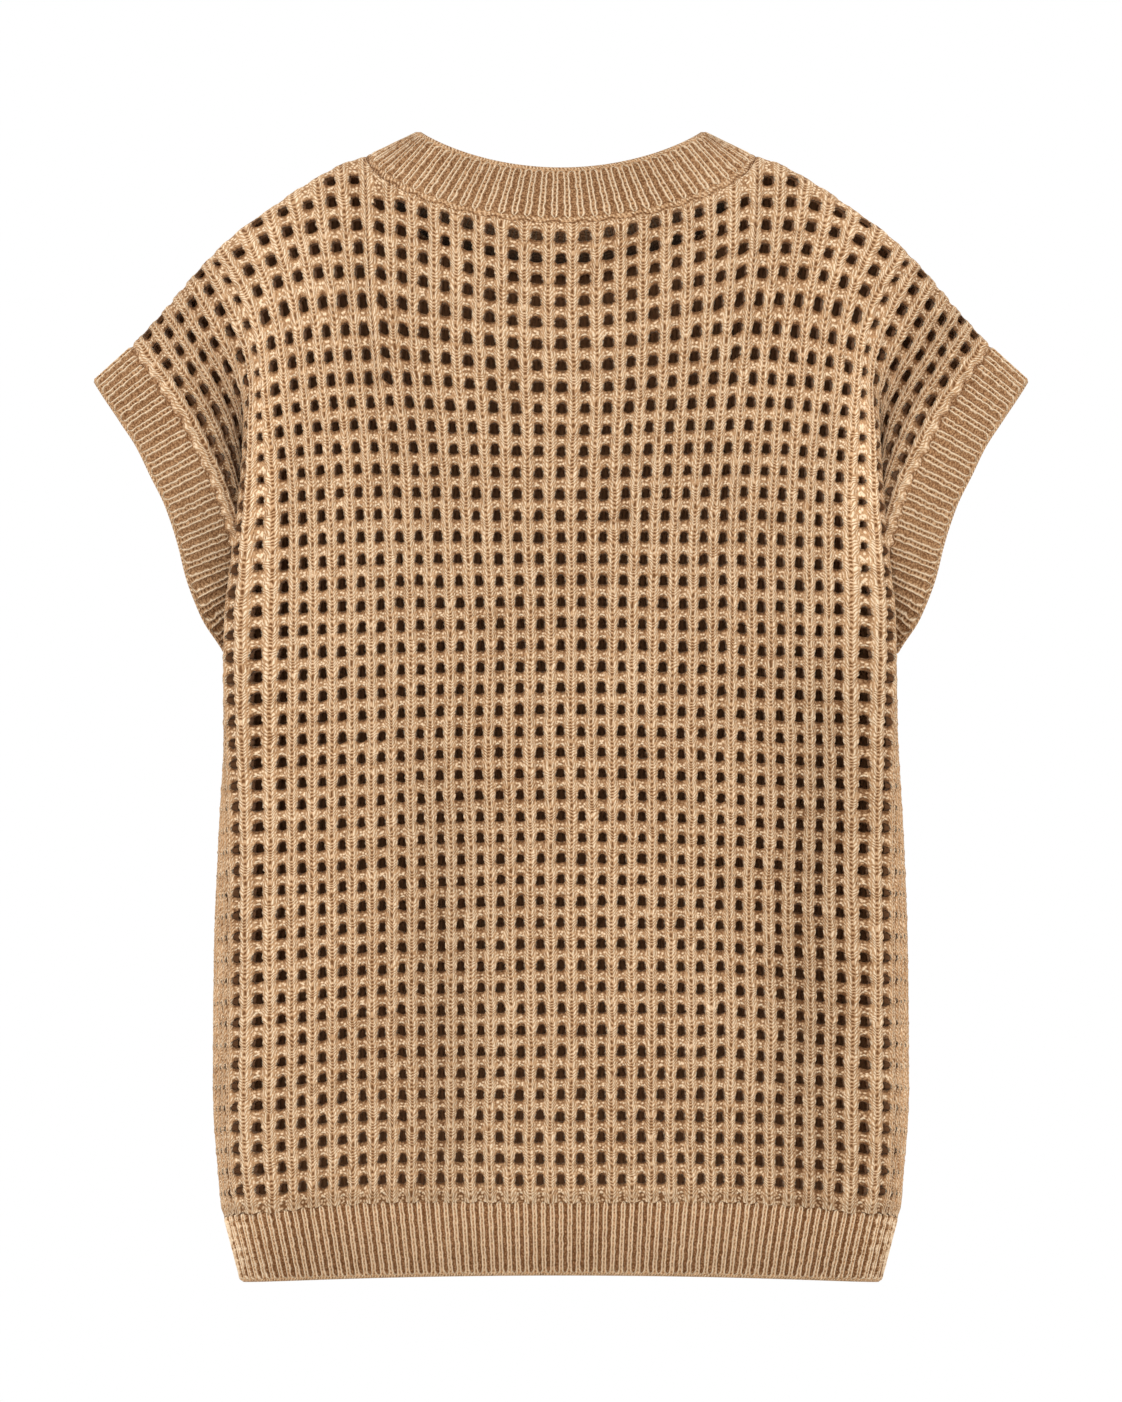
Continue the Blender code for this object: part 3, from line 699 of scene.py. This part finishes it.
def buildBand(name, seam, seamNormal, edge, band, shade, material, nodeName, seed):
    b = bandSet
    own = np.random.default_rng(seed)
    ribs = len(seam) // len(ribSteps)
    tangent = unit(np.roll(seam, -4, 0) - np.roll(seam, 4, 0))
    way = edge - seam
    normal = unit(np.cross(way, tangent))
    if np.mean(np.sum(normal * seamNormal, -1)) < 0:
        normal = -normal
    agree = np.clip((np.sum(normal * seamNormal, -1, keepdims=True) - 0.2) / 0.6, 0, 1)
    meeting = unit(seamNormal * agree + normal * (1 - agree))

    def outAt(part, lift):
        # raised by lift: at the seam the panel's way, farther down the band's own
        ownShare = smooth(0, 0.14, part)
        return seam + way * part + unit(meeting * (1 - ownShare) + normal * ownShare) * lift[:, None]

    away = np.abs(np.tile(ribSteps, ribs))
    strand = np.sqrt(np.clip(1 - ((away - b["strandAt"]) / b["strandHalf"]) ** 2, 0, 1))
    profile = np.where(strand > 0, strand * b["strandHeight"], b["valley"] * smooth(0.33, 0.45, away))
    ribAway = own.normal(0, b["uneven"], ribs).repeat(len(ribSteps))
    rows = [seam - unit(way) * b["tuck"] - meeting * b["tuckSink"]]
    along = [-0.07]
    for part in bandRows:
        ribbed = smooth(band["plainSeam"] * 0.4, band["plainSeam"] * 1.7, part)
        ribbed = ribbed * smooth(1 - band["plainEdge"] * 0.3, 1 - band["plainEdge"] * 1.5, part)
        sink = band["seamSink"] * (1 - smooth(0, 0.06, part)) + 0.35 * (1 - smooth(1, 0.96, part))
        lift = profile * (1 + ribAway) * ribbed + b["plainHeight"] * (1 - ribbed) - sink
        rows.append(outAt(part, lift + b["rough"] * own.standard_normal(len(lift))))
        along.append(part)
    # round the free edge and back up the inside
    for turn in (0.25, 0.5, 0.75):
        angle = turn * math.pi
        inward = b["wall"] / 2 * (1 - math.cos(angle))
        rows.append(edge + unit(way) * math.sin(angle) * 0.8 - normal * inward)
        along.append(1 + turn * 0.1)
    for part in (0.97, 0.88, 0.6, 0.3, 0.08, -0.02):
        rows.append(outAt(part, -b["wall"] - 0.5 * (profile < 0.1) * smooth(1, 0.9, part)))
        along.append(2.1 - part)
    grid = np.array([closeRing(row) for row in rows])
    high, wide = grid.shape[:2]
    ribAt = np.concatenate([(np.arange(ribs)[:, None] + ribSteps).ravel(), [ribs - 0.5]])
    uAt, vAt = np.meshgrid(ribAt, np.array(along) * band["stitches"])
    knitUV = np.stack([uAt, vAt], -1).reshape(-1, 2)
    bake = np.stack([(knitUV[:, 0] + 0.5) / ribs, (knitUV[:, 1] - vAt.min()) / np.ptp(vAt)], -1)
    down = vAt / band["stitches"]
    # painted shade: each band darker towards its seam, lighter where its shade is below 0, and its inner rows
    # darker still
    tone = -closeRing(shade * np.ones(len(seam))) * np.clip(1.15 - down, 0, 1.15)
    tone = np.where(down > 1.1, -band["insideShade"] * np.clip(down - 1.1, 0, 1), tone).ravel()
    faces = quadsOf(np.arange(high * wide).reshape(high, wide)).reshape(-1, 4)
    points = grid.reshape(-1, 3)
    normals = vertexNormals(points, faces).reshape(high, wide, 3)
    if np.sum(normals[5, :-1] * normal) < 0:
        faces = faces[:, ::-1]
        normals = -normals
    normals[:, [0, -1]] = unit(normals[:, 0] + normals[:, -1])[:, None]
    normals = normals.reshape(-1, 3)
    piece = addPiece(name, points, faces, knitUV, bake, normals, material, {"painted shade": tone})
    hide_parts(nodeName)
    return piece


def edgeLine(front, wales, downs):
    wales, downs = np.broadcast_arrays(np.asarray(wales, float), np.asarray(downs, float))
    return panelPoint(front, wales, downs), panelNormal(front, wales, downs)


def seamRound(lines, band):
    # the back's line and then the front's the other way, with its normals, at the steps of each rib
    line, normal = (closeRing(np.concatenate([back, front[::-1]])) for back, front in zip(*lines))
    parts = ribParts(band["ribs"])
    return resample(line, line, parts, band["deep"]), unit(resample(line, normal, parts, band["deep"]))


def buildNeckBand(material):
    n = neckSet
    seams, normals, edges = [], [], []
    for front in (False, True):
        wales = np.linspace(-form["neckWale"], form["neckWale"], 171)
        line, normal = edgeLine(front, wales, 0)
        normal[[0, -1], 1] = 0
        turn = np.linspace(0, math.pi, 241)
        y = n["edgeDepth"][front] * np.sin(turn)
        z = (n["edgeUp"][front] - form["neckDrop"][front]) * np.sin(turn) ** n["edgeCurve"]
        edge = np.stack([-n["edgeX"] * np.cos(turn), y if front else -y, z], -1)
        if front:
            line, normal, edge = line[::-1], normal[::-1], edge[::-1]
        parts = ribParts(n["ribs"][front])
        # near both corners the ribs fan out from the shoulder
        fan = np.exp(-(((parts - 0.1) / 0.08) ** 2)) - np.exp(-(((parts - 0.9) / 0.08) ** 2))
        seams.append(resample(line, line, parts))
        normals.append(resample(line, normal, parts))
        edges.append(resample(edge, edge, parts - n["lean"] * fan))
    seam = np.concatenate(seams)
    edge = np.concatenate(edges)
    start = seam + unit(edge - seam) * 0.1
    normal = unit(np.concatenate(normals))
    return buildBand("neck_rib", start, normal, edge, n, n["shade"], material, "neck_band", 21)


def buildArmband(name, sign, material, nodeName, seed):
    lines = []
    for front in (False, True):
        total = float(wholeDrop(front, np.array(form["sideWale"])))
        courses = np.linspace(form["underarm"], total, 150)
        line, normal = edgeLine(front, form["sideWale"], total - courses)
        normal[[0, -1], 1] = 0
        lines.append((line, unit(normal)))
    seam, normal = seamRound(lines, armSet)
    height = seam[:, 2]
    down = (height.max() - height) / (height.max() - height.min())
    out = curveAt(cuffTable, cuffColumns, "out", down)
    fall = curveAt(cuffTable, cuffColumns, "fall", down)
    way = unit(np.stack([out, seam[:, 1] * 0.004, -fall], -1))
    start = seam + way * 0.15
    edge = start + way * armSet["width"]
    shade = armSet["shade"][sign] * smooth(0.25, 0.8, down) - armSet["lighter"]
    start, normal, edge = (values * (sign, 1, 1) for values in (start, normal, edge))
    return buildBand(name, start, normal, edge, armSet, shade, material, nodeName, seed)


def buildHemBand(material):
    h = hemSet
    lines = []
    for front in (False, True):
        wales = np.linspace(-form["sideWale"], form["sideWale"], 420)
        line, normal = edgeLine(front, wales, wholeDrop(front, wales))
        lines.append((line, unit(normal * (1, 1, 0))))
    seam, normal = seamRound(lines, h)
    start = seam * (h["startWide"], 1, 1) - (0, 0, 0.1)
    edge = start * (h["edgeWide"], h["edgeDepth"], 1)
    edge[:, 2] = form["hemTop"] - h["height"] - h["sag"] * (np.abs(edge[:, 0]) / h["sagX"]) ** 2
    return buildBand("hem_rib", start, normal, edge, h, h["shade"], material, "hem_band", 24)


# materials
yarn = {
    "shadow": (0.165, 0.066, 0.02),      # deep between the strands
    "body": (0.53, 0.305, 0.152),
    "light": (0.97, 0.74, 0.5),
    # painted shade: the darker colour of the cloth's inner face
    "inside": (0.26, 0.12, 0.05),
    "fibre": 0.9,              # strength of the stray fibres
    "fibreScale": 1100,
    "tone": 0.24,              # strength of the slow changes of tone
    "toneScale": 14,
    # strength of the painted light and shade from folds, seams, cords and inner rows
    "paintedShadeStrength": 0.13,
    "holeShade": 0.85,
    # painted shade on the bands' inner rows
    "bandInsideShade": 0.75,
    "bodyRange": (-0.05, 0.5),           # from shadow to body, from body to light
    "lightRange": (0.45, 1.1),
    "bump": 0.9,
    "bumpDepth": 0.0011,
    "roughness": 0.88,
    "specular": 0.2,
    "sheen": 0.1,
    "sheenTint": (1.0, 0.86, 0.68, 1),
}


def node(tree, kind, **settings):
    made = tree.nodes.new(kind)
    for name, value in settings.items():
        setattr(made, name, value)
    return made


def put(tree, socket, value):
    if isinstance(value, bpy.types.NodeSocket):
        tree.links.new(value, socket)
    else:
        socket.default_value = value


def maths(tree, operation, *values, clamp=False):
    made = node(tree, "ShaderNodeMath", operation=operation, use_clamp=clamp)
    for socket, value in zip(made.inputs, values):
        put(tree, socket, value)
    return made.outputs[0]


def softStep(tree, value, low, high):
    made = node(tree, "ShaderNodeMapRange", interpolation_type="SMOOTHSTEP")
    for socket, given in zip(made.inputs, (value, low, high, 0.0, 1.0)):
        put(tree, socket, given)
    return made.outputs[0]


def mixColours(tree, share, first, second):
    made = node(tree, "ShaderNodeMix", data_type="RGBA")
    put(tree, made.inputs[0], share)
    put(tree, made.inputs[6], first)
    put(tree, made.inputs[7], second)
    return made.outputs[2]


def ridge(tree, value, centre, half):
    away = maths(tree, "ABSOLUTE", maths(tree, "SUBTRACT", value, centre))
    return softStep(tree, away, half, 0.0)


def addUp(tree, *values):
    result = values[0]
    for value in values[1:]:
        result = maths(tree, "ADD", result, value)
    return result


def fromWhole(tree, value):
    # how far a value lies above the nearest whole number
    return maths(tree, "SUBTRACT", value, maths(tree, "ROUND", value))


def quarterRound(tree, value):
    # falls from 1 to 0 along a quarter of a circle
    return maths(tree, "SQRT", maths(tree, "SUBTRACT", 1.0, maths(tree, "POWER", value, 2.0)))


def product(tree, *values):
    result = values[0]
    for value in values[1:]:
        result = maths(tree, "MULTIPLY", result, value)
    return result


def wave(tree, value, low, high):
    # from low to high and back over each whole number
    turn = maths(tree, "COSINE", maths(tree, "MULTIPLY", value, 2 * math.pi))
    return maths(tree, "MULTIPLY_ADD", turn, (high - low) / 2, (high + low) / 2)


def blend(tree, share, first, second):
    made = node(tree, "ShaderNodeMix", data_type="FLOAT")
    for socket, value in zip((made.inputs[0], made.inputs[2], made.inputs[3]), (share, first, second)):
        put(tree, socket, value)
    return made.outputs[0]


def startGroup(name, inputs, outputs):
    group = bpy.data.node_groups.new(name, "ShaderNodeTree")
    face = group.interface
    for title, value in inputs:
        kind = "NodeSocketVector" if value is None else "NodeSocketFloat"
        socket = face.new_socket(name=title, in_out="INPUT", socket_type=kind)
        if value is not None:
            socket.default_value = value
    for title in outputs:
        face.new_socket(name=title, in_out="OUTPUT", socket_type="NodeSocketFloat")
    return group, node(group, "NodeGroupInput"), node(group, "NodeGroupOutput")


def wander(group, vector, scale):
    # the knit map pushed about a little, so that no two stitches are quite alike
    parts = node(group, "ShaderNodeSeparateXYZ")
    group.links.new(vector, parts.inputs[0])
    noise = node(group, "ShaderNodeTexNoise", noise_dimensions="2D")
    noise.inputs["Scale"].default_value = scale
    noise.inputs["Detail"].default_value = 1.0
    group.links.new(vector, noise.inputs["Vector"])
    push = node(group, "ShaderNodeSeparateColor")
    group.links.new(noise.outputs["Color"], push.inputs[0])
    centred = [maths(group, "SUBTRACT", socket, 0.5) for socket in push.outputs]
    return parts.outputs[0], parts.outputs[1], centred


def specksOf(group, across, up, acrossScale, upScale):
    place = node(group, "ShaderNodeCombineXYZ")
    group.links.new(maths(group, "MULTIPLY", across, acrossScale), place.inputs[0])
    group.links.new(maths(group, "MULTIPLY", up, upScale), place.inputs[1])
    cells = node(group, "ShaderNodeTexVoronoi", voronoi_dimensions="2D", feature="F1")
    group.links.new(place.outputs[0], cells.inputs["Vector"])
    cells.inputs["Scale"].default_value = 1.0
    cells.inputs["Randomness"].default_value = 0.85
    return softStep(group, cells.outputs["Distance"], 0.55, 0.15)


def netGroup():
    # whole numbers across are the middles of wales, whole numbers up the rows of holes
    group, start, end = startGroup(
        "net stitches",
        (
            ("Knit", None), ("Strand At", 0.125), ("Lobe At", 0.27), ("Stitches", 5),
            ("Hole Near", 0.7), ("Fold Shade", 0),
        ),
        ("Height", "Light"),
    )
    across, up, push = wander(group, start.outputs["Knit"], 1.6)
    across = maths(group, "MULTIPLY_ADD", push[0], 0.1, across)
    stitch = product(group, maths(group, "MULTIPLY_ADD", push[1], 0.55, up), start.outputs["Stitches"])
    away = maths(group, "ABSOLUTE", fromWhole(group, across))
    level = fromWhole(group, maths(group, "MULTIPLY_ADD", push[2], 0.12, up))
    # a wale: two fine strands with dark dots between them, and lobes at its sides; painted highlight on
    # strands and lobes, painted shade in the dots
    leg = wave(group, maths(group, "MULTIPLY_ADD", away, -7.5, stitch), 0, 1)
    strand = ridge(group, away, start.outputs["Strand At"], 0.1)
    lobe = ridge(group, away, start.outputs["Lobe At"], 0.085)
    beside = ridge(group, level, 0.02, 0.2)
    dots = product(group, softStep(group, away, 0.08, 0.01), wave(group, stitch, -0.45, 1))
    lobeLight = addUp(group, -0.1, maths(group, "MULTIPLY", leg, 0.75), maths(group, "MULTIPLY", beside, 0.6))
    waleLight = addUp(
        group, maths(group, "MULTIPLY_ADD", push[2], 0.5, 0.38),
        product(group, strand, maths(group, "SUBTRACT", leg, 0.02)),
        product(group, lobe, lobeLight),
        maths(group, "MULTIPLY", dots, -0.62),
    )
    waleHeight = addUp(
        group, product(group, strand, maths(group, "MULTIPLY_ADD", leg, 0.5, 0.5)),
        product(group, lobe, maths(group, "MULTIPLY_ADD", leg, 0.5, 0.3)),
    )
    # a bar: purl specks, and a light loop arched over each hole, both painted highlights; the folds' painted
    # light and shade fall on the bars too
    middle = maths(group, "SUBTRACT", 0.5, away)
    loopAt = maths(group, "MULTIPLY_ADD", middle, -0.75, 0.45)
    loop = ridge(group, level, loopAt, 0.085)
    specks = specksOf(group, across, up, 6.0, 6.0)
    barLight = addUp(
        group, 0.2, maths(group, "MULTIPLY", specks, 0.75), maths(group, "MULTIPLY", loop, 0.45),
        maths(group, "MULTIPLY", start.outputs["Fold Shade"], 0.16),
    )
    barHeight = maths(group, "MULTIPLY_ADD", specks, 0.5, maths(group, "MULTIPLY", loop, 0.6))
    inside = softStep(group, away, 0.37, 0.28)
    light = blend(group, inside, barLight, waleLight)
    # soft brown painted shade round the holes, longest just below them
    under = softStep(group, level, -0.4, -0.24)
    over = softStep(group, level, 0.36, 0.24)
    near = product(group, under, over, softStep(group, away, 0.23, 0.33), start.outputs["Hole Near"])
    light = product(group, light, maths(group, "SUBTRACT", 1.0, near))
    group.links.new(blend(group, inside, barHeight, waleHeight), end.inputs["Height"])
    group.links.new(light, end.inputs["Light"])
    return group


def ribGroup():
    # whole numbers across are the middles of ribs;
    # up counts stitches from the seam, over the free edge and back inside
    group, start, end = startGroup(
        "rib stitches",
        (
            ("Knit", None), ("Strand At", 0.18), ("Strand Half", 0.1), ("Band Stitches", 14),
            ("Seam End", 1.0), ("Edge End", 1.2), ("Ground", 0.55), ("Valley", 0.3),
            ("Seam Shade", 0.5), ("Seam Waves", 0.47),
        ),
        ("Height", "Light", "Inside"),
    )
    across, up, push = wander(group, start.outputs["Knit"], 0.7)
    across = maths(group, "MULTIPLY_ADD", push[0], 0.22, across)
    count = start.outputs["Band Stitches"]
    turn = maths(group, "MULTIPLY", count, 2.1)
    folded = maths(group, "MINIMUM", up, maths(group, "SUBTRACT", turn, up))
    stitch = maths(group, "MULTIPLY_ADD", push[1], 1.6, folded)
    away = maths(group, "ABSOLUTE", fromWhole(group, across))
    fromSeam = maths(group, "SUBTRACT", folded, start.outputs["Seam End"])
    toEdge = maths(group, "SUBTRACT", maths(group, "SUBTRACT", count, start.outputs["Edge End"]), folded)
    # the strands close the rib at its seam and arch over the valley at its edge
    seamBend = maths(group, "SUBTRACT", 1.0, fromSeam, clamp=True)
    edgeBend = maths(group, "SUBTRACT", 1.0, maths(group, "DIVIDE", toEdge, 1.2), clamp=True)
    closing = quarterRound(group, seamBend)
    arching = maths(group, "SUBTRACT", 1.0, quarterRound(group, edgeBend))
    strandAt = start.outputs["Strand At"]
    toValley = maths(group, "SUBTRACT", 0.5, strandAt)
    strandAt = product(group, addUp(group, strandAt, product(group, arching, toValley)), closing)
    leg = wave(group, maths(group, "MULTIPLY_ADD", away, -1.5, stitch), 0, 1)
    strand = ridge(group, away, strandAt, start.outputs["Strand Half"])
    beside, inner = (maths(group, "MULTIPLY", strandAt, share) for share in (0.7, 0.2))
    dots = product(group, softStep(group, away, beside, inner), wave(group, stitch, 0.1, 1))
    valley = softStep(group, away, maths(group, "ADD", strandAt, 0.03), maths(group, "ADD", strandAt, 0.13))
    specks = specksOf(group, across, folded, 5.0, 1.7)
    # painted highlight on the strands, painted shade in the dots and valleys
    legLight = maths(group, "MULTIPLY_ADD", leg, 0.3, 0.55)
    unevenLight = maths(group, "MULTIPLY_ADD", push[2], 1.6, 0.95)
    valleyLight = maths(group, "SUBTRACT", maths(group, "MULTIPLY", specks, 0.24), start.outputs["Valley"])
    ribLight = addUp(
        group, start.outputs["Ground"],
        product(group, strand, legLight, unevenLight),
        maths(group, "MULTIPLY", dots, -0.6),
        product(group, valley, valleyLight),
    )
    slant = maths(group, "MULTIPLY_ADD", across, 3.0, maths(group, "MULTIPLY", stitch, 0.6))
    rowsAcross = wave(group, slant, 0, 0.55)
    plainLight = maths(group, "MULTIPLY_ADD", specks, 0.3, maths(group, "ADD", rowsAcross, 0.12))
    ribbed = product(group, softStep(group, fromSeam, -0.3, 0.1), softStep(group, toEdge, -0.3, 0.1))
    light = blend(group, ribbed, plainLight, ribLight)
    seamAt = wave(group, maths(group, "MULTIPLY", across, start.outputs["Seam Waves"]), -0.15, 0.55)
    seam = product(group, ridge(group, folded, seamAt, 0.5), start.outputs["Seam Shade"])
    light = product(group, light, maths(group, "SUBTRACT", 1.0, seam))
    plainHeight = maths(group, "MULTIPLY_ADD", specks, 0.4, rowsAcross)
    ribHeight = maths(group, "MULTIPLY_ADD", leg, 0.35, strand)
    height = blend(group, ribbed, plainHeight, ribHeight)
    # painted shade on the rows inside the band
    inside = softStep(group, maths(group, "SUBTRACT", up, count), 1.2, 3.0)
    group.links.new(height, end.inputs["Height"])
    group.links.new(light, end.inputs["Light"])
    group.links.new(inside, end.inputs["Inside"])
    return group


def fuzzGroup():
    # stray fibres and slow changes of tone over the cloth
    group, start, end = startGroup("yarn fuzz", (("Fibre Scale", 900), ("Tone Scale", 14)), ("Fibre", "Tone"))
    where = node(group, "ShaderNodeTexCoord")
    for name, detail, target in (("Fibre Scale", 3.0, "Fibre"), ("Tone Scale", 2.0, "Tone")):
        noise = node(group, "ShaderNodeTexNoise")
        noise.inputs["Detail"].default_value = detail
        group.links.new(where.outputs["Object"], noise.inputs["Vector"])
        group.links.new(start.outputs[name], noise.inputs["Scale"])
        group.links.new(noise.outputs["Fac"], end.inputs[target])
    return group


netStitches = netGroup()
ribStitches = ribGroup()
yarnFuzz = fuzzGroup()


def yarnMaterial(name, stitchGroup, values):
    made = bpy.data.materials.new(name)
    made.use_nodes = True
    tree = made.node_tree
    shader = tree.nodes["Principled BSDF"]
    knit = node(tree, "ShaderNodeUVMap", uv_map="knit")
    stitches = node(tree, "ShaderNodeGroup", node_tree=stitchGroup)
    tree.links.new(knit.outputs[0], stitches.inputs["Knit"])
    for key, value in values.items():
        stitches.inputs[key].default_value = value
    fuzz = node(tree, "ShaderNodeGroup", node_tree=yarnFuzz)
    fuzz.inputs["Fibre Scale"].default_value = yarn["fibreScale"]
    fuzz.inputs["Tone Scale"].default_value = yarn["toneScale"]
    fibre, tone = fuzz.outputs["Fibre"], fuzz.outputs["Tone"]
    light = addUp(
        tree, stitches.outputs["Light"],
        maths(tree, "MULTIPLY_ADD", fibre, yarn["fibre"], -yarn["fibre"] / 2),
        maths(tree, "MULTIPLY_ADD", tone, yarn["tone"], -yarn["tone"] / 2),
    )
    # the light value picks shadow, body or light colour: painted shade between the strands, painted highlight
    # on their crests
    toBody = softStep(tree, light, *yarn["bodyRange"])
    toLight = softStep(tree, light, *yarn["lightRange"])
    colour = mixColours(tree, toBody, (*yarn["shadow"], 1), (*yarn["body"], 1))
    colour = mixColours(tree, toLight, colour, (*yarn["light"], 1))
    # painted light and shade: the colour is scaled by the mark from folds, seams, cords and inner rows
    folded = node(tree, "ShaderNodeAttribute", attribute_name="painted shade")
    scaled = node(tree, "ShaderNodeVectorMath", operation="SCALE")
    paintedShadeScale = maths(tree, "MULTIPLY_ADD", folded.outputs["Fac"], yarn["paintedShadeStrength"], 1.0)
    tree.links.new(paintedShadeScale, scaled.inputs["Scale"])
    # painted shade: the panels' inner faces and the bands' inner rows take the darker inside colour
    if stitchGroup is netStitches:
        # painted shade round the holes, only in cells that have a hole
        holes = node(tree, "ShaderNodeAttribute", attribute_name="hole near")
        near = maths(tree, "MULTIPLY", holes.outputs["Fac"], yarn["holeShade"])
        tree.links.new(near, stitches.inputs["Hole Near"])
        tree.links.new(folded.outputs["Fac"], stitches.inputs["Fold Shade"])
        inner = node(tree, "ShaderNodeNewGeometry").outputs["Backfacing"]
    else:
        inner = maths(tree, "MULTIPLY", stitches.outputs["Inside"], yarn["bandInsideShade"])
    tree.links.new(mixColours(tree, inner, colour, (*yarn["inside"], 1)), scaled.inputs[0])
    tree.links.new(scaled.outputs[0], shader.inputs["Base Color"])
    bump = node(tree, "ShaderNodeBump")
    bump.inputs["Strength"].default_value = yarn["bump"]
    bump.inputs["Distance"].default_value = yarn["bumpDepth"]
    put(tree, bump.inputs["Height"], maths(tree, "MULTIPLY_ADD", fibre, 0.25, stitches.outputs["Height"]))
    tree.links.new(bump.outputs[0], shader.inputs["Normal"])
    put(tree, shader.inputs["Roughness"], maths(tree, "MULTIPLY_ADD", fibre, 0.16, yarn["roughness"] - 0.08))
    shader.inputs["Specular IOR Level"].default_value = yarn["specular"]
    shader.inputs["Sheen Weight"].default_value = yarn["sheen"]
    shader.inputs["Sheen Roughness"].default_value = 0.5
    shader.inputs["Sheen Tint"].default_value = yarn["sheenTint"]
    return made


def ribMaterial(name, band):
    count = band["stitches"]
    return yarnMaterial(name, ribStitches, {
        "Strand At": 0.19, "Strand Half": 0.11, "Band Stitches": count,
        "Seam End": count * band["plainSeam"], "Edge End": count * band["plainEdge"],
        "Ground": band["ground"], "Valley": band["valley"],
        "Seam Shade": band["seamShade"], "Seam Waves": band["seamWaves"],
    })


netKnit = yarnMaterial("net knit", netStitches, {"Strand At": 0.125, "Lobe At": 0.27, "Stitches": 5})
neckKnit = ribMaterial("neck rib knit", neckSet)
armKnit = ribMaterial("arm rib knit", armSet)
hemKnit = ribMaterial("hem rib knit", hemSet)
print("yarn materials made")

# build
backPieces = buildPanel("back_panel", False, 0.0, 5, netKnit)
frontPieces = buildPanel("front_panel", True, 0.5, 8, netKnit)
neckRib = buildNeckBand(neckKnit)
leftRib = buildArmband("arm_rib_left", -1, armKnit, "armband_left", 22)
rightRib = buildArmband("arm_rib_right", 1, armKnit, "armband_right", 23)
hemRib = buildHemBand(hemKnit)

# floor and light
studio = {
    "floorHeight": -0.76,
    "floorSize": 5.0,
    "floorColour": (0.82, 0.82, 0.81, 1),
    "world": 1.0,
    "keyPower": 96,
    "keySize": 5.0,
    "keyPlace": (-2.0, -6.0, 3.2),
    "sidePower": 39,
    "sideSize": 3.6,
    "sidePlace": (4.2, -2.6, 0.6),       # and the same on the other side
    "aimedAt": (0, 0, -0.3),
}


def aim(thing, target):
    thing.rotation_euler = (Vector(target) - Vector(thing.location)).to_track_quat("-Z", "Y").to_euler()


def setStudio(s):
    mesh = bpy.data.meshes.new("floor")
    half = s["floorSize"] / 2
    corners = [(-half, -half, 0), (half, -half, 0), (half, half, 0), (-half, half, 0)]
    mesh.from_pydata(corners, [], [(0, 1, 2, 3)])
    floor = bpy.data.objects.new("floor", mesh)
    floor.location = (0, 0, s["floorHeight"])
    paint = bpy.data.materials.new("pale floor")
    paint.use_nodes = True
    shader = paint.node_tree.nodes["Principled BSDF"]
    shader.inputs["Base Color"].default_value = s["floorColour"]
    shader.inputs["Roughness"].default_value = 0.9
    mesh.materials.append(paint)
    scene.collection.objects.link(floor)
    world = bpy.data.worlds.new("studio")
    world.use_nodes = True
    background = world.node_tree.nodes["Background"]
    background.inputs["Color"].default_value = (1, 1, 1, 1)
    background.inputs["Strength"].default_value = s["world"]
    scene.world = world
    x, y, z = s["sidePlace"]
    for name, power, size, place in (
        ("key", s["keyPower"], s["keySize"], s["keyPlace"]),
        ("right fill", s["sidePower"], s["sideSize"], (x, y, z)),
        ("left fill", s["sidePower"], s["sideSize"], (-x, y, z)),
    ):
        data = bpy.data.lights.new(name, "AREA")
        data.energy = power
        data.size = size
        lamp = bpy.data.objects.new(name, data)
        lamp.location = place
        lamp.visible_camera = False
        aim(lamp, s["aimedAt"])
        scene.collection.objects.link(lamp)
    scene.view_settings.view_transform = "Standard"


setStudio(studio)
print("studio set")
